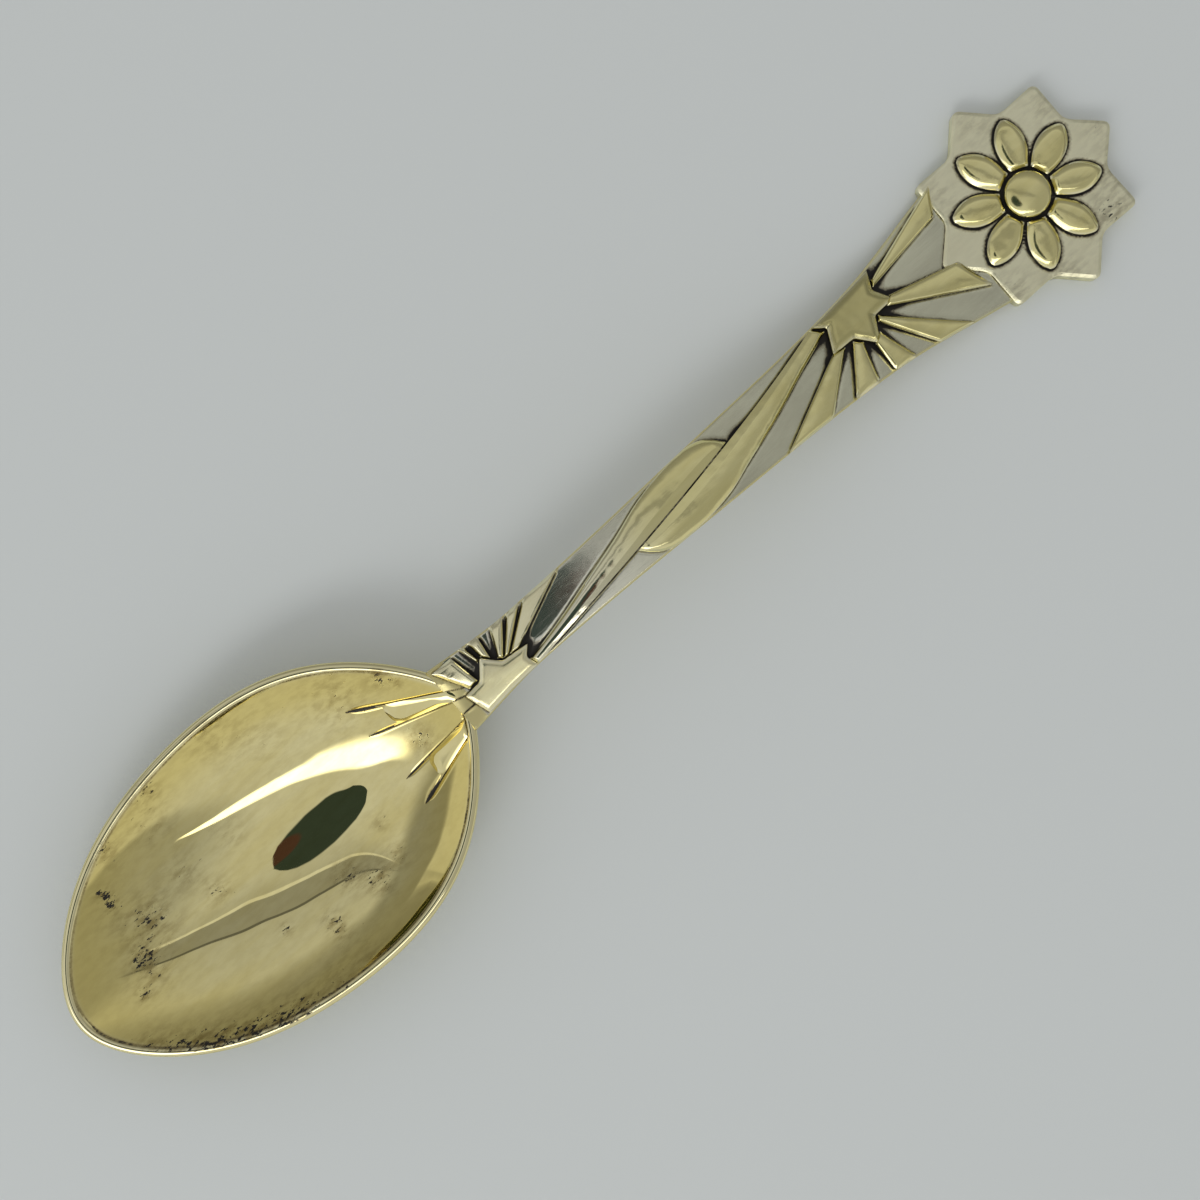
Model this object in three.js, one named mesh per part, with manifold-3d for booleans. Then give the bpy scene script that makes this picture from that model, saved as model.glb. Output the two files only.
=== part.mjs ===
// A gilt silver spoon: an egg-shaped bowl, a slender arched stem and an eight-pointed finial star.
// Stars, rays, leaves and a petal rosette stand in relief, each a separate piece soldered to its ground.
// Millimetres, +Z up. X runs along the spoon from the bowl's tip to the finial, Y across it.
// The origin lies under the middle of the spoon, on the surface that it rests on.

import * as THREE from "three";
import { mergeVertices } from "three/addons/utils/BufferGeometryUtils.js";
import Module from "manifold-3d";

const wasm = await Module();
wasm.setup();

// Bowl, in a plan measured from its joint with the stem
const BOWL_TIP_LENGTH = 32.3; // widest section to tip
const BOWL_NECK_LENGTH = 25; // widest section to stem joint
const BOWL_NECK_OVERRUN = 1.6; // the outline would close this far past the joint
const BOWL_WIDTH = 35.4;
const BOWL_DEPTH = 8.4; // inside, below the rim
const BOWL_LEAN = 5; // deepest spot, from the widest section towards the stem
const BOWL_LEAN_FADE = 3; // power by which the lean dies away towards the rim
const BOWL_WALL = 1.2;
const RIM_WIDTH = 1.1;
const RIM_RISE = 0.047; // climb of the rim towards the stem, per millimetre
const TIP_TAPER = 0.17; // how far the outline draws in towards the tip
const NECK_TAPER = 0.36; // the same towards the stem
const BOWL_ARC = 34; // degrees from the middle of the arc that the inside follows to its end
const WORN_DEPTH = 0.1; // worn off the lowest spot of the underside

// Stem
const STEM_LENGTH = 89.5; // bowl joint to the centre of the finial star
const STEM_NECK_DROP = 0.4; // top of the stem below the rim at the joint
const STEM_CREST_RISE = 2.8; // crest of the arch above the joint
const STEM_CREST_AT = 30; // crest's distance from the joint
const STEM_NECK_THICKNESS = 3.4;
const STEM_END_THICKNESS = 1.9;
const STEM_WAIST_WIDTH = 6.8;
const STEM_WAIST_AT = 11;
const STEM_MIDDLE_WIDTH = 8; // halfway from the waist to the upper star
const STEM_UPPER_WIDTH = 10.8; // at the upper star
const STEM_SHOULDER_WIDTH = 16.6; // where it meets the finial star
const STEM_EDGE_BEVEL = 0.3;
const HEEL_LENGTH = 5; // tongue of the stem under the bowl
const HEEL_TIP_WIDTH = 4;
const HEEL_FALL = 1.5; // its tip lies this far below the line of the stem's underside
const HEEL_BEND = 1.2; // power of the curve in which it falls

// Finial star and its rosette
const FINIAL_POINTS = 8;
const FINIAL_RADIUS = 13.2; // to the points
const FINIAL_NOTCH_RADIUS = 10; // to the notches between them
const FINIAL_THICKNESS = 2;
const FINIAL_BEVEL = 0.5;
const PETAL_COUNT = 8;
const PETAL_MARGIN = 1; // from the petal's tip to the star's notch
const PETAL_SPACING = 0.5; // between neighbouring petals at their roots
const PETAL_TIP_WIDTH = 0.5;
const PETAL_HEIGHT = 0.9;
const BOSS_RADIUS = 2.8;
const BOSS_HEIGHT = 1.4;
const BOSS_SKIRT = 0.4; // upright wall below the dome

// Small stars on the stem, set close to one edge, and their rays in degrees from +X
const STAR_POINTS = 6;
const STAR_NOTCH = 0.58; // notch reach as a share of the point's reach
const STAR_HEIGHT = 1;
const STAR_BEVEL = 0.35;
const LOWER_STAR_LENGTH = 10.8; // along the stem
const LOWER_STAR_WIDTH = 7.6; // across it, before the stem's edge cuts it off
const LOWER_STAR_AT = 6.2; // centre from the bowl joint
const LOWER_STAR_INSET = 1.5; // centre from the stem's edge
const UPPER_STAR_LENGTH = 11.8;
const UPPER_STAR_WIDTH = 10;
const UPPER_STAR_AT = 25.2; // centre from the centre of the finial
const UPPER_STAR_INSET = 2.2;
const LOWER_RAYS = [[121, 138], [101, 107], [81, 95], [50, 65], [37.5, 47], [23, 35.5]];
const UPPER_RAYS = [[8, 17], [-29, -15], [-58, -44], [-93, -73], [-129, -109], [-156, -142]];
const BOWL_RAYS = [[162, 151], [196, 184]];
const BOWL_RAY_START = 1.5; // from the joint, along the spoon
const BOWL_RAY_END = 10;
const RAY_HEIGHT = 0.8;
const BOWL_RAY_HEIGHT = 0.6;

// Leaves between the small stars
const LEAF_HEIGHT = 0.9;
const LEAF_SEAM = 0.3; // gap between the two leaves

// Fits
const SOLDER_GAP = 0.1; // between a piece and the ground that it is soldered to
const PIECE_GAP = 0.25; // between neighbouring pieces in plan
const EDGE_MARGIN = 0.35; // relief stays this far inside the stem's edge

const GILT = { color: 0xb7a865, roughness: 0.28, metalness: 1 };
const PALE_GILT = { color: 0xb3ab7c, roughness: 0.3, metalness: 1 };
const SILVER = { color: 0xa9a495, roughness: 0.38, metalness: 1 };

// Positions that follow from the sizes above, with X counted from the bowl joint
const bowlMiddle = -BOWL_NECK_LENGTH;
const bowlDeepest = bowlMiddle + BOWL_LEAN;
const bowlTip = bowlMiddle - BOWL_TIP_LENGTH;
const finialAt = STEM_LENGTH;
const finialNotchAt = finialAt - FINIAL_NOTCH_RADIUS * Math.cos(Math.PI / FINIAL_POINTS);
const upperStarAt = finialAt - UPPER_STAR_AT;
const rimHeight = BOWL_DEPTH + BOWL_WALL - WORN_DEPTH;
const neckHeight = rimHeight - RIM_RISE * bowlDeepest - STEM_NECK_DROP;
const crestHeight = neckHeight + STEM_CREST_RISE;

const radians = THREE.MathUtils.degToRad;
const { lerp, smoothstep, clamp } = THREE.MathUtils;

// A smooth curve through [position, value] stations, as a function of position.
function smoothThrough(stations) {
  const slope = (i) => {
    const [a, b] = [stations[Math.max(i - 1, 0)], stations[Math.min(i + 1, stations.length - 1)]];
    return (b[1] - a[1]) / (b[0] - a[0]);
  };
  return (x) => {
    const last = stations.length - 2;
    const found = stations.findIndex((s, i) => i <= last && x <= stations[i + 1][0]);
    const i = found < 0 ? last : found;
    const [[x0, v0], [x1, v1]] = [stations[i], stations[i + 1]];
    const span = x1 - x0;
    const t = (x - x0) / span;
    const [t2, t3] = [t * t, t * t * t];
    const ends = v0 * (2 * t3 - 3 * t2 + 1) + v1 * (3 * t2 - 2 * t3);
    return ends + span * (slope(i) * (t3 - 2 * t2 + t) + slope(i + 1) * (t3 - t2));
  };
}

// Distance from the origin to a closed outline of Vector2 points, along an angle in radians.
function boundary(outline, angle) {
  const [cos, sin] = [Math.cos(angle), Math.sin(angle)];
  let reach = 0;
  outline.forEach((a, i) => {
    const b = outline[(i + 1) % outline.length];
    const [aside, bside] = [a.y * cos - a.x * sin, b.y * cos - b.x * sin];
    if (aside * bside > 0 || aside === bside) return;
    const share = aside / (aside - bside);
    reach = Math.max(reach, lerp(a.x, b.x, share) * cos + lerp(a.y, b.y, share) * sin);
  });
  return reach;
}

// Points of a star about the origin, one at the top, as Vector2s in anticlockwise order.
function starOutline(points, along, across, notch) {
  return Array.from({ length: 2 * points }, (_, i) => {
    const angle = Math.PI / 2 + (i * Math.PI) / points;
    const share = i % 2 ? notch : 1;
    return new THREE.Vector2(along * share * Math.cos(angle), across * share * Math.sin(angle));
  });
}

// Bowl surfaces: the outline's reach from the middle, its half-width, and the height of the inside
function bowlReach(cosine, inset) {
  const length = cosine < 0 ? BOWL_TIP_LENGTH : BOWL_NECK_LENGTH + BOWL_NECK_OVERRUN;
  return length - inset;
}
function bowlTaper(cosine) {
  return 1 - (cosine < 0 ? TIP_TAPER : NECK_TAPER) * cosine ** 4;
}
function bowlOutline(angle, inset) {
  const cosine = Math.cos(angle);
  const y = (BOWL_WIDTH / 2 - inset) * Math.sin(angle) * bowlTaper(cosine);
  return new THREE.Vector2(bowlReach(cosine, inset) * cosine, y);
}
function bowlHalfWidth(x, inset) {
  const cosine = (x - bowlMiddle) / bowlReach(x - bowlMiddle, inset);
  return Math.abs(bowlOutline(Math.acos(cosine), inset).y);
}
// Share of the full depth at a share of the way from the middle to the rim: an arc's sagitta,
// stretched to the bowl's size.
function bowlSag(share) {
  const steepness = Math.sin(radians(BOWL_ARC));
  const edge = Math.sqrt(1 - steepness ** 2);
  return (Math.sqrt(1 - (steepness * share) ** 2) - edge) / (1 - edge);
}
function rimAt(x) {
  return rimHeight + RIM_RISE * (x - bowlDeepest);
}
// Middle of the smaller copy of the outline at a share of its size
function bowlCentre(share) {
  return bowlMiddle + BOWL_LEAN * (1 - share ** 2) ** BOWL_LEAN_FADE;
}
function bowlInside(x, y) {
  const across = y / (BOWL_WIDTH / 2 - RIM_WIDTH);
  const rounds = 24;
  let [share, taper] = [1, 1];
  for (let i = 0; i < rounds; i++) {
    const length = x - bowlCentre(share);
    const along = length / bowlReach(length, RIM_WIDTH);
    taper = bowlTaper(Math.cos(Math.atan2(across / taper, along)));
    share = Math.min(Math.hypot(along, across / taper), 1);
  }
  return rimAt(x) - BOWL_DEPTH * bowlSag(share);
}

// Stem surfaces: half-width in plan, height of the top and thickness
const stemHalfWidth = smoothThrough([
  [0, bowlHalfWidth(0, 0)],
  [STEM_WAIST_AT, STEM_WAIST_WIDTH / 2],
  [(STEM_WAIST_AT + upperStarAt) / 2, STEM_MIDDLE_WIDTH / 2],
  [upperStarAt, STEM_UPPER_WIDTH / 2],
  [finialNotchAt, STEM_SHOULDER_WIDTH / 2],
]);
function stemTop(x) {
  if (x < STEM_CREST_AT) return crestHeight - STEM_CREST_RISE * (1 - x / STEM_CREST_AT) ** 2;
  return lerp(crestHeight, STEM_END_THICKNESS, smoothstep(x, STEM_CREST_AT, finialNotchAt));
}
function stemThickness(x) {
  const lift = (stemTop(x) - STEM_END_THICKNESS) / (crestHeight - STEM_END_THICKNESS);
  return lerp(STEM_END_THICKNESS, STEM_NECK_THICKNESS, lift);
}
function reliefLimit(x) {
  return stemHalfWidth(x) - EDGE_MARGIN;
}

const finialOutline = starOutline(
  FINIAL_POINTS, FINIAL_RADIUS, FINIAL_RADIUS, FINIAL_NOTCH_RADIUS / FINIAL_RADIUS,
);
function clearOfFinial(x, y) {
  const angle = Math.atan2(y, x - finialAt);
  return Math.hypot(x - finialAt, y) > boundary(finialOutline, angle) + PIECE_GAP;
}

// A closed mesh from rings of Vector3s: rings are joined in order, and the first and last are capped by
// fans about the middle of each.
function skin(rings) {
  const count = rings[0].length;
  const points = rings.flat();
  const faces = [];
  for (let r = 0; r + 1 < rings.length; r++) {
    for (let i = 0; i < count; i++) {
      const [a, b] = [r * count + i, r * count + ((i + 1) % count)];
      faces.push(a, b, b + count, a, b + count, a + count);
    }
  }
  const cap = (ring, start, flip) => {
    const middle = points.length;
    const centre = ring.reduce((sum, p) => sum.add(p), new THREE.Vector3());
    points.push(centre.divideScalar(count));
    for (let i = 0; i < count; i++) {
      const [a, b] = [start + i, start + ((i + 1) % count)];
      faces.push(middle, flip ? b : a, flip ? a : b);
    }
  };
  cap(rings[0], 0, true);
  cap(rings[rings.length - 1], (rings.length - 1) * count, false);
  return new THREE.BufferGeometry().setFromPoints(points).setIndex(faces);
}

// Booleans on closed geometries
function solid(geometry) {
  const bare = new THREE.BufferGeometry().setAttribute("position", geometry.getAttribute("position"));
  bare.setIndex(geometry.getIndex());
  const merged = mergeVertices(bare, 1e-4);
  const vertProperties = merged.getAttribute("position").array;
  return new wasm.Manifold(
    new wasm.Mesh({ numProp: 3, vertProperties, triVerts: new Uint32Array(merged.index.array) }),
  );
}
function cut(geometry, ...tools) {
  const made = tools.reduce((body, tool) => body.subtract(solid(tool)), solid(geometry)).getMesh();
  return new THREE.BufferGeometry()
    .setAttribute("position", new THREE.BufferAttribute(made.vertProperties, 3))
    .setIndex(new THREE.BufferAttribute(made.triVerts, 1));
}
function block(low, high) {
  const size = high.clone().sub(low);
  const middle = low.clone().add(high).divideScalar(2);
  return new THREE.BoxGeometry(size.x, size.y, size.z).translate(middle.x, middle.y, middle.z);
}

// A flat-topped plate with a bevelled top edge, drawn in by a share of its size. Its outline is
// star-shaped about the centre, and its underside follows seat(x, y).
function plate(outline, centre, seat, height, bevel, inset) {
  const middle = 0.1;
  const halfway = 0.55;
  const levels = [
    [middle, 0],
    [halfway, 0],
    [1, 0],
    [1, height - bevel],
    [1 - inset, height],
    [halfway, height],
    [middle, height],
  ];
  const rings = levels.map(([scale, rise]) =>
    outline.map((p) => {
      const [x, y] = [centre.x + scale * p.x, centre.y + scale * p.y];
      return new THREE.Vector3(x, y, seat(x, y) + rise);
    }),
  );
  return skin(rings);
}

// A ridged strip between two edges, each a function of t from 0 to 1 that gives a Vector2. Left and
// right are as seen by someone who walks along it. rise(t) is its height above the seat.
const BLADE_SECTION = [[0, 0], [0, 0.5], [0.22, 0.9], [0.5, 1], [0.78, 0.9], [1, 0.5], [1, 0]];
function blade(left, right, steps, seat, rise) {
  const rings = Array.from({ length: steps + 1 }, (_, i) => {
    const t = i / steps;
    const [a, b] = [left(t), right(t)];
    return BLADE_SECTION.map(([across, up]) => {
      const [x, y] = [lerp(a.x, b.x, across), lerp(a.y, b.y, across)];
      return new THREE.Vector3(x, y, seat(x, y) + up * rise(t));
    });
  });
  return skin(rings);
}
// Full height over most of the length, sloping down over the last part.
const slopedEnd = (height) => (t) => height * (1 - 0.5 * smoothstep(t, 0.75, 1));

// Bowl
const BOWL_SHARES = [0.16, 0.36, 0.54, 0.7, 0.83, 0.93, 1];
function bowlRing(share, inset, depth) {
  const around = 56;
  return Array.from({ length: around }, (_, i) => {
    const p = bowlOutline((2 * Math.PI * i) / around, inset).multiplyScalar(share);
    const x = bowlCentre(share) + p.x;
    return new THREE.Vector3(x, p.y, rimAt(x) - depth * bowlSag(share));
  });
}
const far = BOWL_WIDTH + BOWL_NECK_LENGTH + BOWL_TIP_LENGTH;
function pastJoint(gap) {
  return block(new THREE.Vector3(gap, -far, -far), new THREE.Vector3(far, far, 2 * far));
}
function bowl() {
  const outside = BOWL_SHARES.map((share) => bowlRing(share, 0, BOWL_DEPTH + BOWL_WALL));
  const inside = BOWL_SHARES.map((share) => bowlRing(share, RIM_WIDTH, BOWL_DEPTH)).reverse();
  const underTable = block(new THREE.Vector3(-2 * far, -far, -far), new THREE.Vector3(far, far, 0));
  return cut(skin([...outside, ...inside]), pastJoint(0), underTable);
}
// Everything that the bowl's back keeps the heel out of: its outside, grown by the gap, and all above it
function bowlRoom() {
  const low = new THREE.Vector3(0, 0, -SOLDER_GAP);
  const back = BOWL_SHARES.map((share) =>
    bowlRing(share, -SOLDER_GAP, BOWL_DEPTH + BOWL_WALL).map((p) => p.add(low)),
  );
  const above = back[back.length - 1].map((p) => new THREE.Vector3(p.x, p.y, far));
  return cut(skin([...back, above]), pastJoint(SOLDER_GAP));
}

// Stem: a loft whose section has a flat bevelled top and a rounded underside. Its first part is the
// heel, which narrows under the back of the bowl, and its far end fits round the finial star.
function stem() {
  const steps = 44;
  const heelHalf = (x) => lerp(stemHalfWidth(0), HEEL_TIP_WIDTH / 2, clamp(-x / HEEL_LENGTH, 0, 1));
  const section = (x) => {
    const [top, thick] = [stemTop(x), stemThickness(x)];
    const half = x < 0 ? heelHalf(x) : stemHalfWidth(x);
    const fall = HEEL_FALL * Math.max(-x / HEEL_LENGTH, 0) ** HEEL_BEND;
    const [flat, shoulder, low] = [half - STEM_EDGE_BEVEL, top - STEM_EDGE_BEVEL, top - thick - fall];
    const right = [
      [0.45 * half, low],
      [0.8 * half, lerp(low, top, 0.15)],
      [half, lerp(low, top, 0.5)],
      [half, shoulder],
      [flat, top],
    ];
    const left = right.map(([y, z]) => [-y, z]).reverse();
    return [...right, ...left].map(([y, z]) => new THREE.Vector3(x, y, z));
  };
  const rings = Array.from({ length: steps + 1 }, (_, i) =>
    section(lerp(-HEEL_LENGTH, finialNotchAt, i / steps)),
  );
  const grown = 1 + (2 * SOLDER_GAP) / FINIAL_NOTCH_RADIUS;
  const seat = finialOutline.map((p) => p.clone().multiplyScalar(grown));
  const tall = 2 * FINIAL_THICKNESS;
  const pocket = new THREE.ExtrudeGeometry(new THREE.Shape(seat), { depth: 2 * tall, bevelEnabled: false });
  return cut(skin(rings), bowlRoom(), pocket.translate(finialAt, 0, -tall));
}

// Small stars and their rays
function smallStar(at, side, inset, length, width) {
  const centre = new THREE.Vector2(at, side * (stemHalfWidth(at) - inset));
  const outline = starOutline(STAR_POINTS, length / 2, width / 2, STAR_NOTCH).map((p) => {
    const limit = reliefLimit(centre.x + p.x);
    return new THREE.Vector2(p.x, clamp(centre.y + p.y, -limit, limit) - centre.y);
  });
  return { centre, outline };
}
const lowerStar = smallStar(LOWER_STAR_AT, -1, LOWER_STAR_INSET, LOWER_STAR_LENGTH, LOWER_STAR_WIDTH);
const upperStar = smallStar(upperStarAt, 1, UPPER_STAR_INSET, UPPER_STAR_LENGTH, UPPER_STAR_WIDTH);
const onStem = (x) => stemTop(x) + SOLDER_GAP;

function starPlate(star, width) {
  const inset = (2 * STAR_BEVEL) / (STAR_NOTCH * width);
  return plate(star.outline, star.centre, onStem, STAR_HEIGHT, STAR_BEVEL, inset);
}
// A ray fills the sector between two angles, from just outside its star to the edge of the stem.
function ray(star, [from, to]) {
  const steps = 8;
  const turns = Array.from({ length: steps + 1 }, (_, i) => radians(lerp(from, to, i / steps)));
  const start = Math.max(...turns.map((turn) => boundary(star.outline, turn))) + PIECE_GAP;
  const at = (angle, distance) =>
    new THREE.Vector2(Math.cos(angle), Math.sin(angle)).multiplyScalar(distance).add(star.centre);
  const reach = (angle) => {
    const step = 0.02;
    let distance = start + step;
    for (let p = at(angle, distance); ; p = at(angle, distance)) {
      const onGround = p.x > PIECE_GAP && Math.abs(p.y) < reliefLimit(p.x);
      if (!onGround || !clearOfFinial(p.x, p.y)) return distance - step;
      distance += step;
    }
  };
  const [low, high] = [radians(from), radians(to)];
  const [lowEnd, highEnd] = [reach(low), reach(high)];
  return blade(
    (t) => at(high, lerp(start, highEnd, t)),
    (t) => at(low, lerp(start, lowEnd, t)),
    6,
    onStem,
    slopedEnd(RAY_HEIGHT),
  );
}
// A bowl ray runs down the inside of the bowl from the joint and dies away.
function bowlRay([left, right]) {
  const edge = (degrees) => (t) => {
    const x = lerp(-BOWL_RAY_START, -BOWL_RAY_END, t);
    const inside = bowlHalfWidth(x, RIM_WIDTH) - PIECE_GAP;
    const y = lowerStar.centre.y + Math.tan(radians(degrees)) * (x - lowerStar.centre.x);
    return new THREE.Vector2(x, clamp(y, -inside, inside));
  };
  const seat = (x, y) => bowlInside(x, y) + SOLDER_GAP;
  const dying = (t) => BOWL_RAY_HEIGHT * (1 - 0.75 * t);
  return blade(edge(left), edge(right), 10, seat, dying);
}

// Leaves: each starts at one star and swells towards the other, with a straight seam between them
const seamStart = lowerStar.centre.x + Math.max(...lowerStar.outline.map((p) => p.x)) + PIECE_GAP;
const seamEnd = upperStar.centre.x + Math.min(...upperStar.outline.map((p) => p.x)) - PIECE_GAP;
const LEAF_STEPS = 14;
// Plan of a leaf's outer edge: share of the way between the stars, and share of the stem's half-width
const LEAF_EDGE = [[0, -0.72], [0.2, 0.35], [0.63, 1.65], [0.66, 0.5]];
function leaf(turned) {
  const curve = new THREE.CubicBezierCurve(...LEAF_EDGE.map(([x, y]) => new THREE.Vector2(x, y)));
  const place = (share, across) => {
    const x = turned ? lerp(seamEnd, seamStart, share) : lerp(seamStart, seamEnd, share);
    const y = (turned ? -across : across) * reliefLimit(x);
    return new THREE.Vector2(x, clamp(y, -reliefLimit(x), reliefLimit(x)));
  };
  const outer = (t) => {
    const p = curve.getPoint(t);
    return place(p.x, p.y);
  };
  const inner = (t) => {
    const share = curve.getPoint(t).x;
    const p = place(share, lerp(-1, 1, share));
    const low = -reliefLimit(p.x);
    p.y = turned ? Math.min(p.y - LEAF_SEAM / 2, -low) : Math.max(p.y + LEAF_SEAM / 2, low);
    return p;
  };
  return blade(outer, inner, LEAF_STEPS, onStem, slopedEnd(LEAF_HEIGHT));
}

// Finial star, with a rosette of petals that point at its notches and a boss in the middle
const onFinial = () => FINIAL_THICKNESS + SOLDER_GAP;
function finialStar() {
  const inset = FINIAL_BEVEL / FINIAL_NOTCH_RADIUS;
  return plate(finialOutline, new THREE.Vector2(), () => 0, FINIAL_THICKNESS, FINIAL_BEVEL, inset);
}
function petal(turn) {
  const base = BOSS_RADIUS + 2 * PIECE_GAP;
  const tip = FINIAL_NOTCH_RADIUS - PETAL_MARGIN;
  const edge = (side) => (t) => {
    const along = lerp(base, tip, t);
    const sector = along * Math.tan(Math.PI / PETAL_COUNT) - PETAL_SPACING / 2;
    const half = lerp(PETAL_TIP_WIDTH / 2, sector, Math.max(Math.cos((Math.PI / 2) * t), 0) ** 0.8);
    return new THREE.Vector2(along, side * half).rotateAround(new THREE.Vector2(), turn);
  };
  return blade(edge(1), edge(-1), 7, onFinial, slopedEnd(PETAL_HEIGHT));
}
function boss() {
  const profile = [new THREE.Vector2(0, 0), new THREE.Vector2(BOSS_RADIUS, 0)];
  const steps = 5;
  for (let i = 0; i < steps; i++) {
    const angle = (i / steps) * (Math.PI / 2);
    const rise = BOSS_SKIRT + (BOSS_HEIGHT - BOSS_SKIRT) * Math.sin(angle);
    profile.push(new THREE.Vector2(BOSS_RADIUS * Math.cos(angle), rise));
  }
  profile.push(new THREE.Vector2(0, BOSS_HEIGHT));
  return new THREE.LatheGeometry(profile, 24).rotateX(Math.PI / 2).translate(0, 0, onFinial());
}

// Assembly
function piece(name, geometry, finish) {
  const made = new THREE.Mesh(geometry, new THREE.MeshStandardMaterial(finish));
  made.name = name;
  return made;
}

const spoon = new THREE.Group();
spoon.position.x = -(bowlTip + finialAt + FINIAL_RADIUS) / 2;
spoon.add(piece("bowl", bowl(), GILT), piece("stem", stem(), SILVER));
BOWL_RAYS.forEach((spread, i) => spoon.add(piece(`bowl_ray_${i + 1}`, bowlRay(spread), GILT)));

spoon.add(piece("lower_star", starPlate(lowerStar, LOWER_STAR_WIDTH), PALE_GILT));
LOWER_RAYS.forEach((spread, i) => spoon.add(piece(`lower_ray_${i + 1}`, ray(lowerStar, spread), PALE_GILT)));
spoon.add(piece("lower_leaf", leaf(false), GILT), piece("upper_leaf", leaf(true), GILT));
spoon.add(piece("upper_star", starPlate(upperStar, UPPER_STAR_WIDTH), GILT));
UPPER_RAYS.forEach((spread, i) => spoon.add(piece(`upper_ray_${i + 1}`, ray(upperStar, spread), GILT)));

const finial = new THREE.Group();
finial.position.x = finialAt;
finial.add(piece("finial_star", finialStar(), SILVER));
for (let i = 0; i < PETAL_COUNT; i++) {
  const turn = ((i + 0.5) * 2 * Math.PI) / PETAL_COUNT;
  finial.add(piece(`petal_${i + 1}`, petal(turn), GILT));
}
finial.add(piece("centre_boss", boss(), GILT));
spoon.add(finial);

export default spoon;
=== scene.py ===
"""A gilt silver spoon with star, ray and leaf relief, dressed around its CAD frame.

Plans are in millimetres, with x counted from the joint between bowl and stem, y across the spoon
and z up from the table. Meshes are in metres in the frame of the CAD model.
"""

from __future__ import annotations

import logging
import math
from contextlib import contextmanager
from dataclasses import dataclass, field
from enum import Enum
from typing import Callable, Iterator, Optional, Sequence

import bpy
from mathutils import Matrix, Vector, kdtree


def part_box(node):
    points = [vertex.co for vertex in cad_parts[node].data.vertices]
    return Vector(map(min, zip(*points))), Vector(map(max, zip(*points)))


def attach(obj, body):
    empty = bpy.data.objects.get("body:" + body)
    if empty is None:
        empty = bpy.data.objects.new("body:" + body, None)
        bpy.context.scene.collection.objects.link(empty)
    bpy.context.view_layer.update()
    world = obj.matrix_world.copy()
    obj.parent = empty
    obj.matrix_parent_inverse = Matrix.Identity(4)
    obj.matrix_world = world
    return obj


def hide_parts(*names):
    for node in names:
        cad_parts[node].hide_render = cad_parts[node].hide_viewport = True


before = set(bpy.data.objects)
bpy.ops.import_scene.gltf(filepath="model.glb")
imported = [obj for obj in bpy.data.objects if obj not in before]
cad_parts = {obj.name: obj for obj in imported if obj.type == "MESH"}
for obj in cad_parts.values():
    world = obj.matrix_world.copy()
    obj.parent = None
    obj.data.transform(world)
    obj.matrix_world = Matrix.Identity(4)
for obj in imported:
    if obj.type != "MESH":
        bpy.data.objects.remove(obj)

LOG = logging.getLogger("spoon")
MM = 0.001
PULL = 1.0
JOINT_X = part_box("bowl")[1].x

Plan = tuple[float, float]
Colour = tuple[float, float, float]
Stain = tuple[float, float, float, float]
Edge = Callable[[float], Plan]
Ground = Callable[[float, float], float]


class Slot(Enum):
    """Material slots of the record."""

    GILT = "gilt"
    PALE_GILT = "pale_gilt"
    SILVER = "silver"


class Mark(Enum):
    """Vertex attributes that the finishes read."""

    # Real oxide in the hollows, and painted shade in the bowl's neck grooves and just inside its rim.
    OXIDE_AND_SHADE = "oxide"
    TARNISH = "tarnish"
    # Rubbed gilding on upper edges and on the bowl's rim, partly a painted highlight.
    WEAR_AND_SHEEN = "wear_and_sheen"
    PALE = "pale"
    # Gilt wash on the stem, and painted shade on the bowl's steep inner walls.
    GILDED_AND_SHADE = "gilded_and_shade"


# Small helpers


def lerp(a: float, b: float, t: float) -> float:
    """Value at share t of the way from a to b."""
    return a + (b - a) * t


def clamp(value: float, low: float, high: float) -> float:
    """Value held between low and high."""
    return max(low, min(high, value))


def smoothstep(low: float, high: float, value: float) -> float:
    """Smooth rise from 0 at low to 1 at high."""
    t = clamp((value - low) / (high - low), 0.0, 1.0)
    return t * t * (3 - 2 * t)


def between(start: Plan, end: Plan, t: float) -> Plan:
    """Plan point at share t of the way between two others."""
    return lerp(start[0], end[0], t), lerp(start[1], end[1], t)


def smooth_through(stations: Sequence[Plan]) -> Callable[[float], float]:
    """A smooth curve through stations.

    Args:
        stations: Pairs of position and value, in order.

    Returns:
        The value as a function of position.
    """
    last = len(stations) - 1

    def slope(i: int) -> float:
        """Slope of the curve at a station."""
        a, b = stations[max(i - 1, 0)], stations[min(i + 1, last)]
        return (b[1] - a[1]) / (b[0] - a[0])

    def value(x: float) -> float:
        """Value at a position, by a cubic between its two stations.

        Args:
            x: The position.

        Returns:
            The value.
        """
        i = next((k for k in range(last) if x <= stations[k + 1][0]), last - 1)
        (x0, v0), (x1, v1) = stations[i], stations[i + 1]
        span = x1 - x0
        t = (x - x0) / span
        t2, t3 = t * t, t * t * t
        ends = v0 * (2 * t3 - 3 * t2 + 1) + v1 * (3 * t2 - 2 * t3)
        return ends + span * (slope(i) * (t3 - 2 * t2 + t) + slope(i + 1) * (t3 - t2))

    return value


def placed(x: float, y: float, z: float) -> Vector:
    """A plan point in millimetres as a point of the frame in metres."""
    return Vector((x * MM + JOINT_X, y * MM, z * MM))


def planned(co: Vector) -> tuple[float, float, float]:
    """A point of the frame in metres as a plan point in millimetres."""
    return (co.x - JOINT_X) / MM, co.y / MM, co.z / MM


def stained(stains: Sequence[Stain], x: float, y: float) -> float:
    """How far a plan point is stained by spots, each given by its place, radius and weight."""
    return sum(w * math.exp(-((x - a) ** 2 + (y - b) ** 2) / r**2) for a, b, r, w in stains)


def rgba(colour: Colour) -> tuple[float, float, float, float]:
    """A colour with full alpha."""
    return (colour[0], colour[1], colour[2], 1.0)


def grey(level: float) -> tuple[float, float, float, float]:
    """A grey with full alpha."""
    return (level, level, level, 1.0)


# Forms that several pieces share


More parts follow.
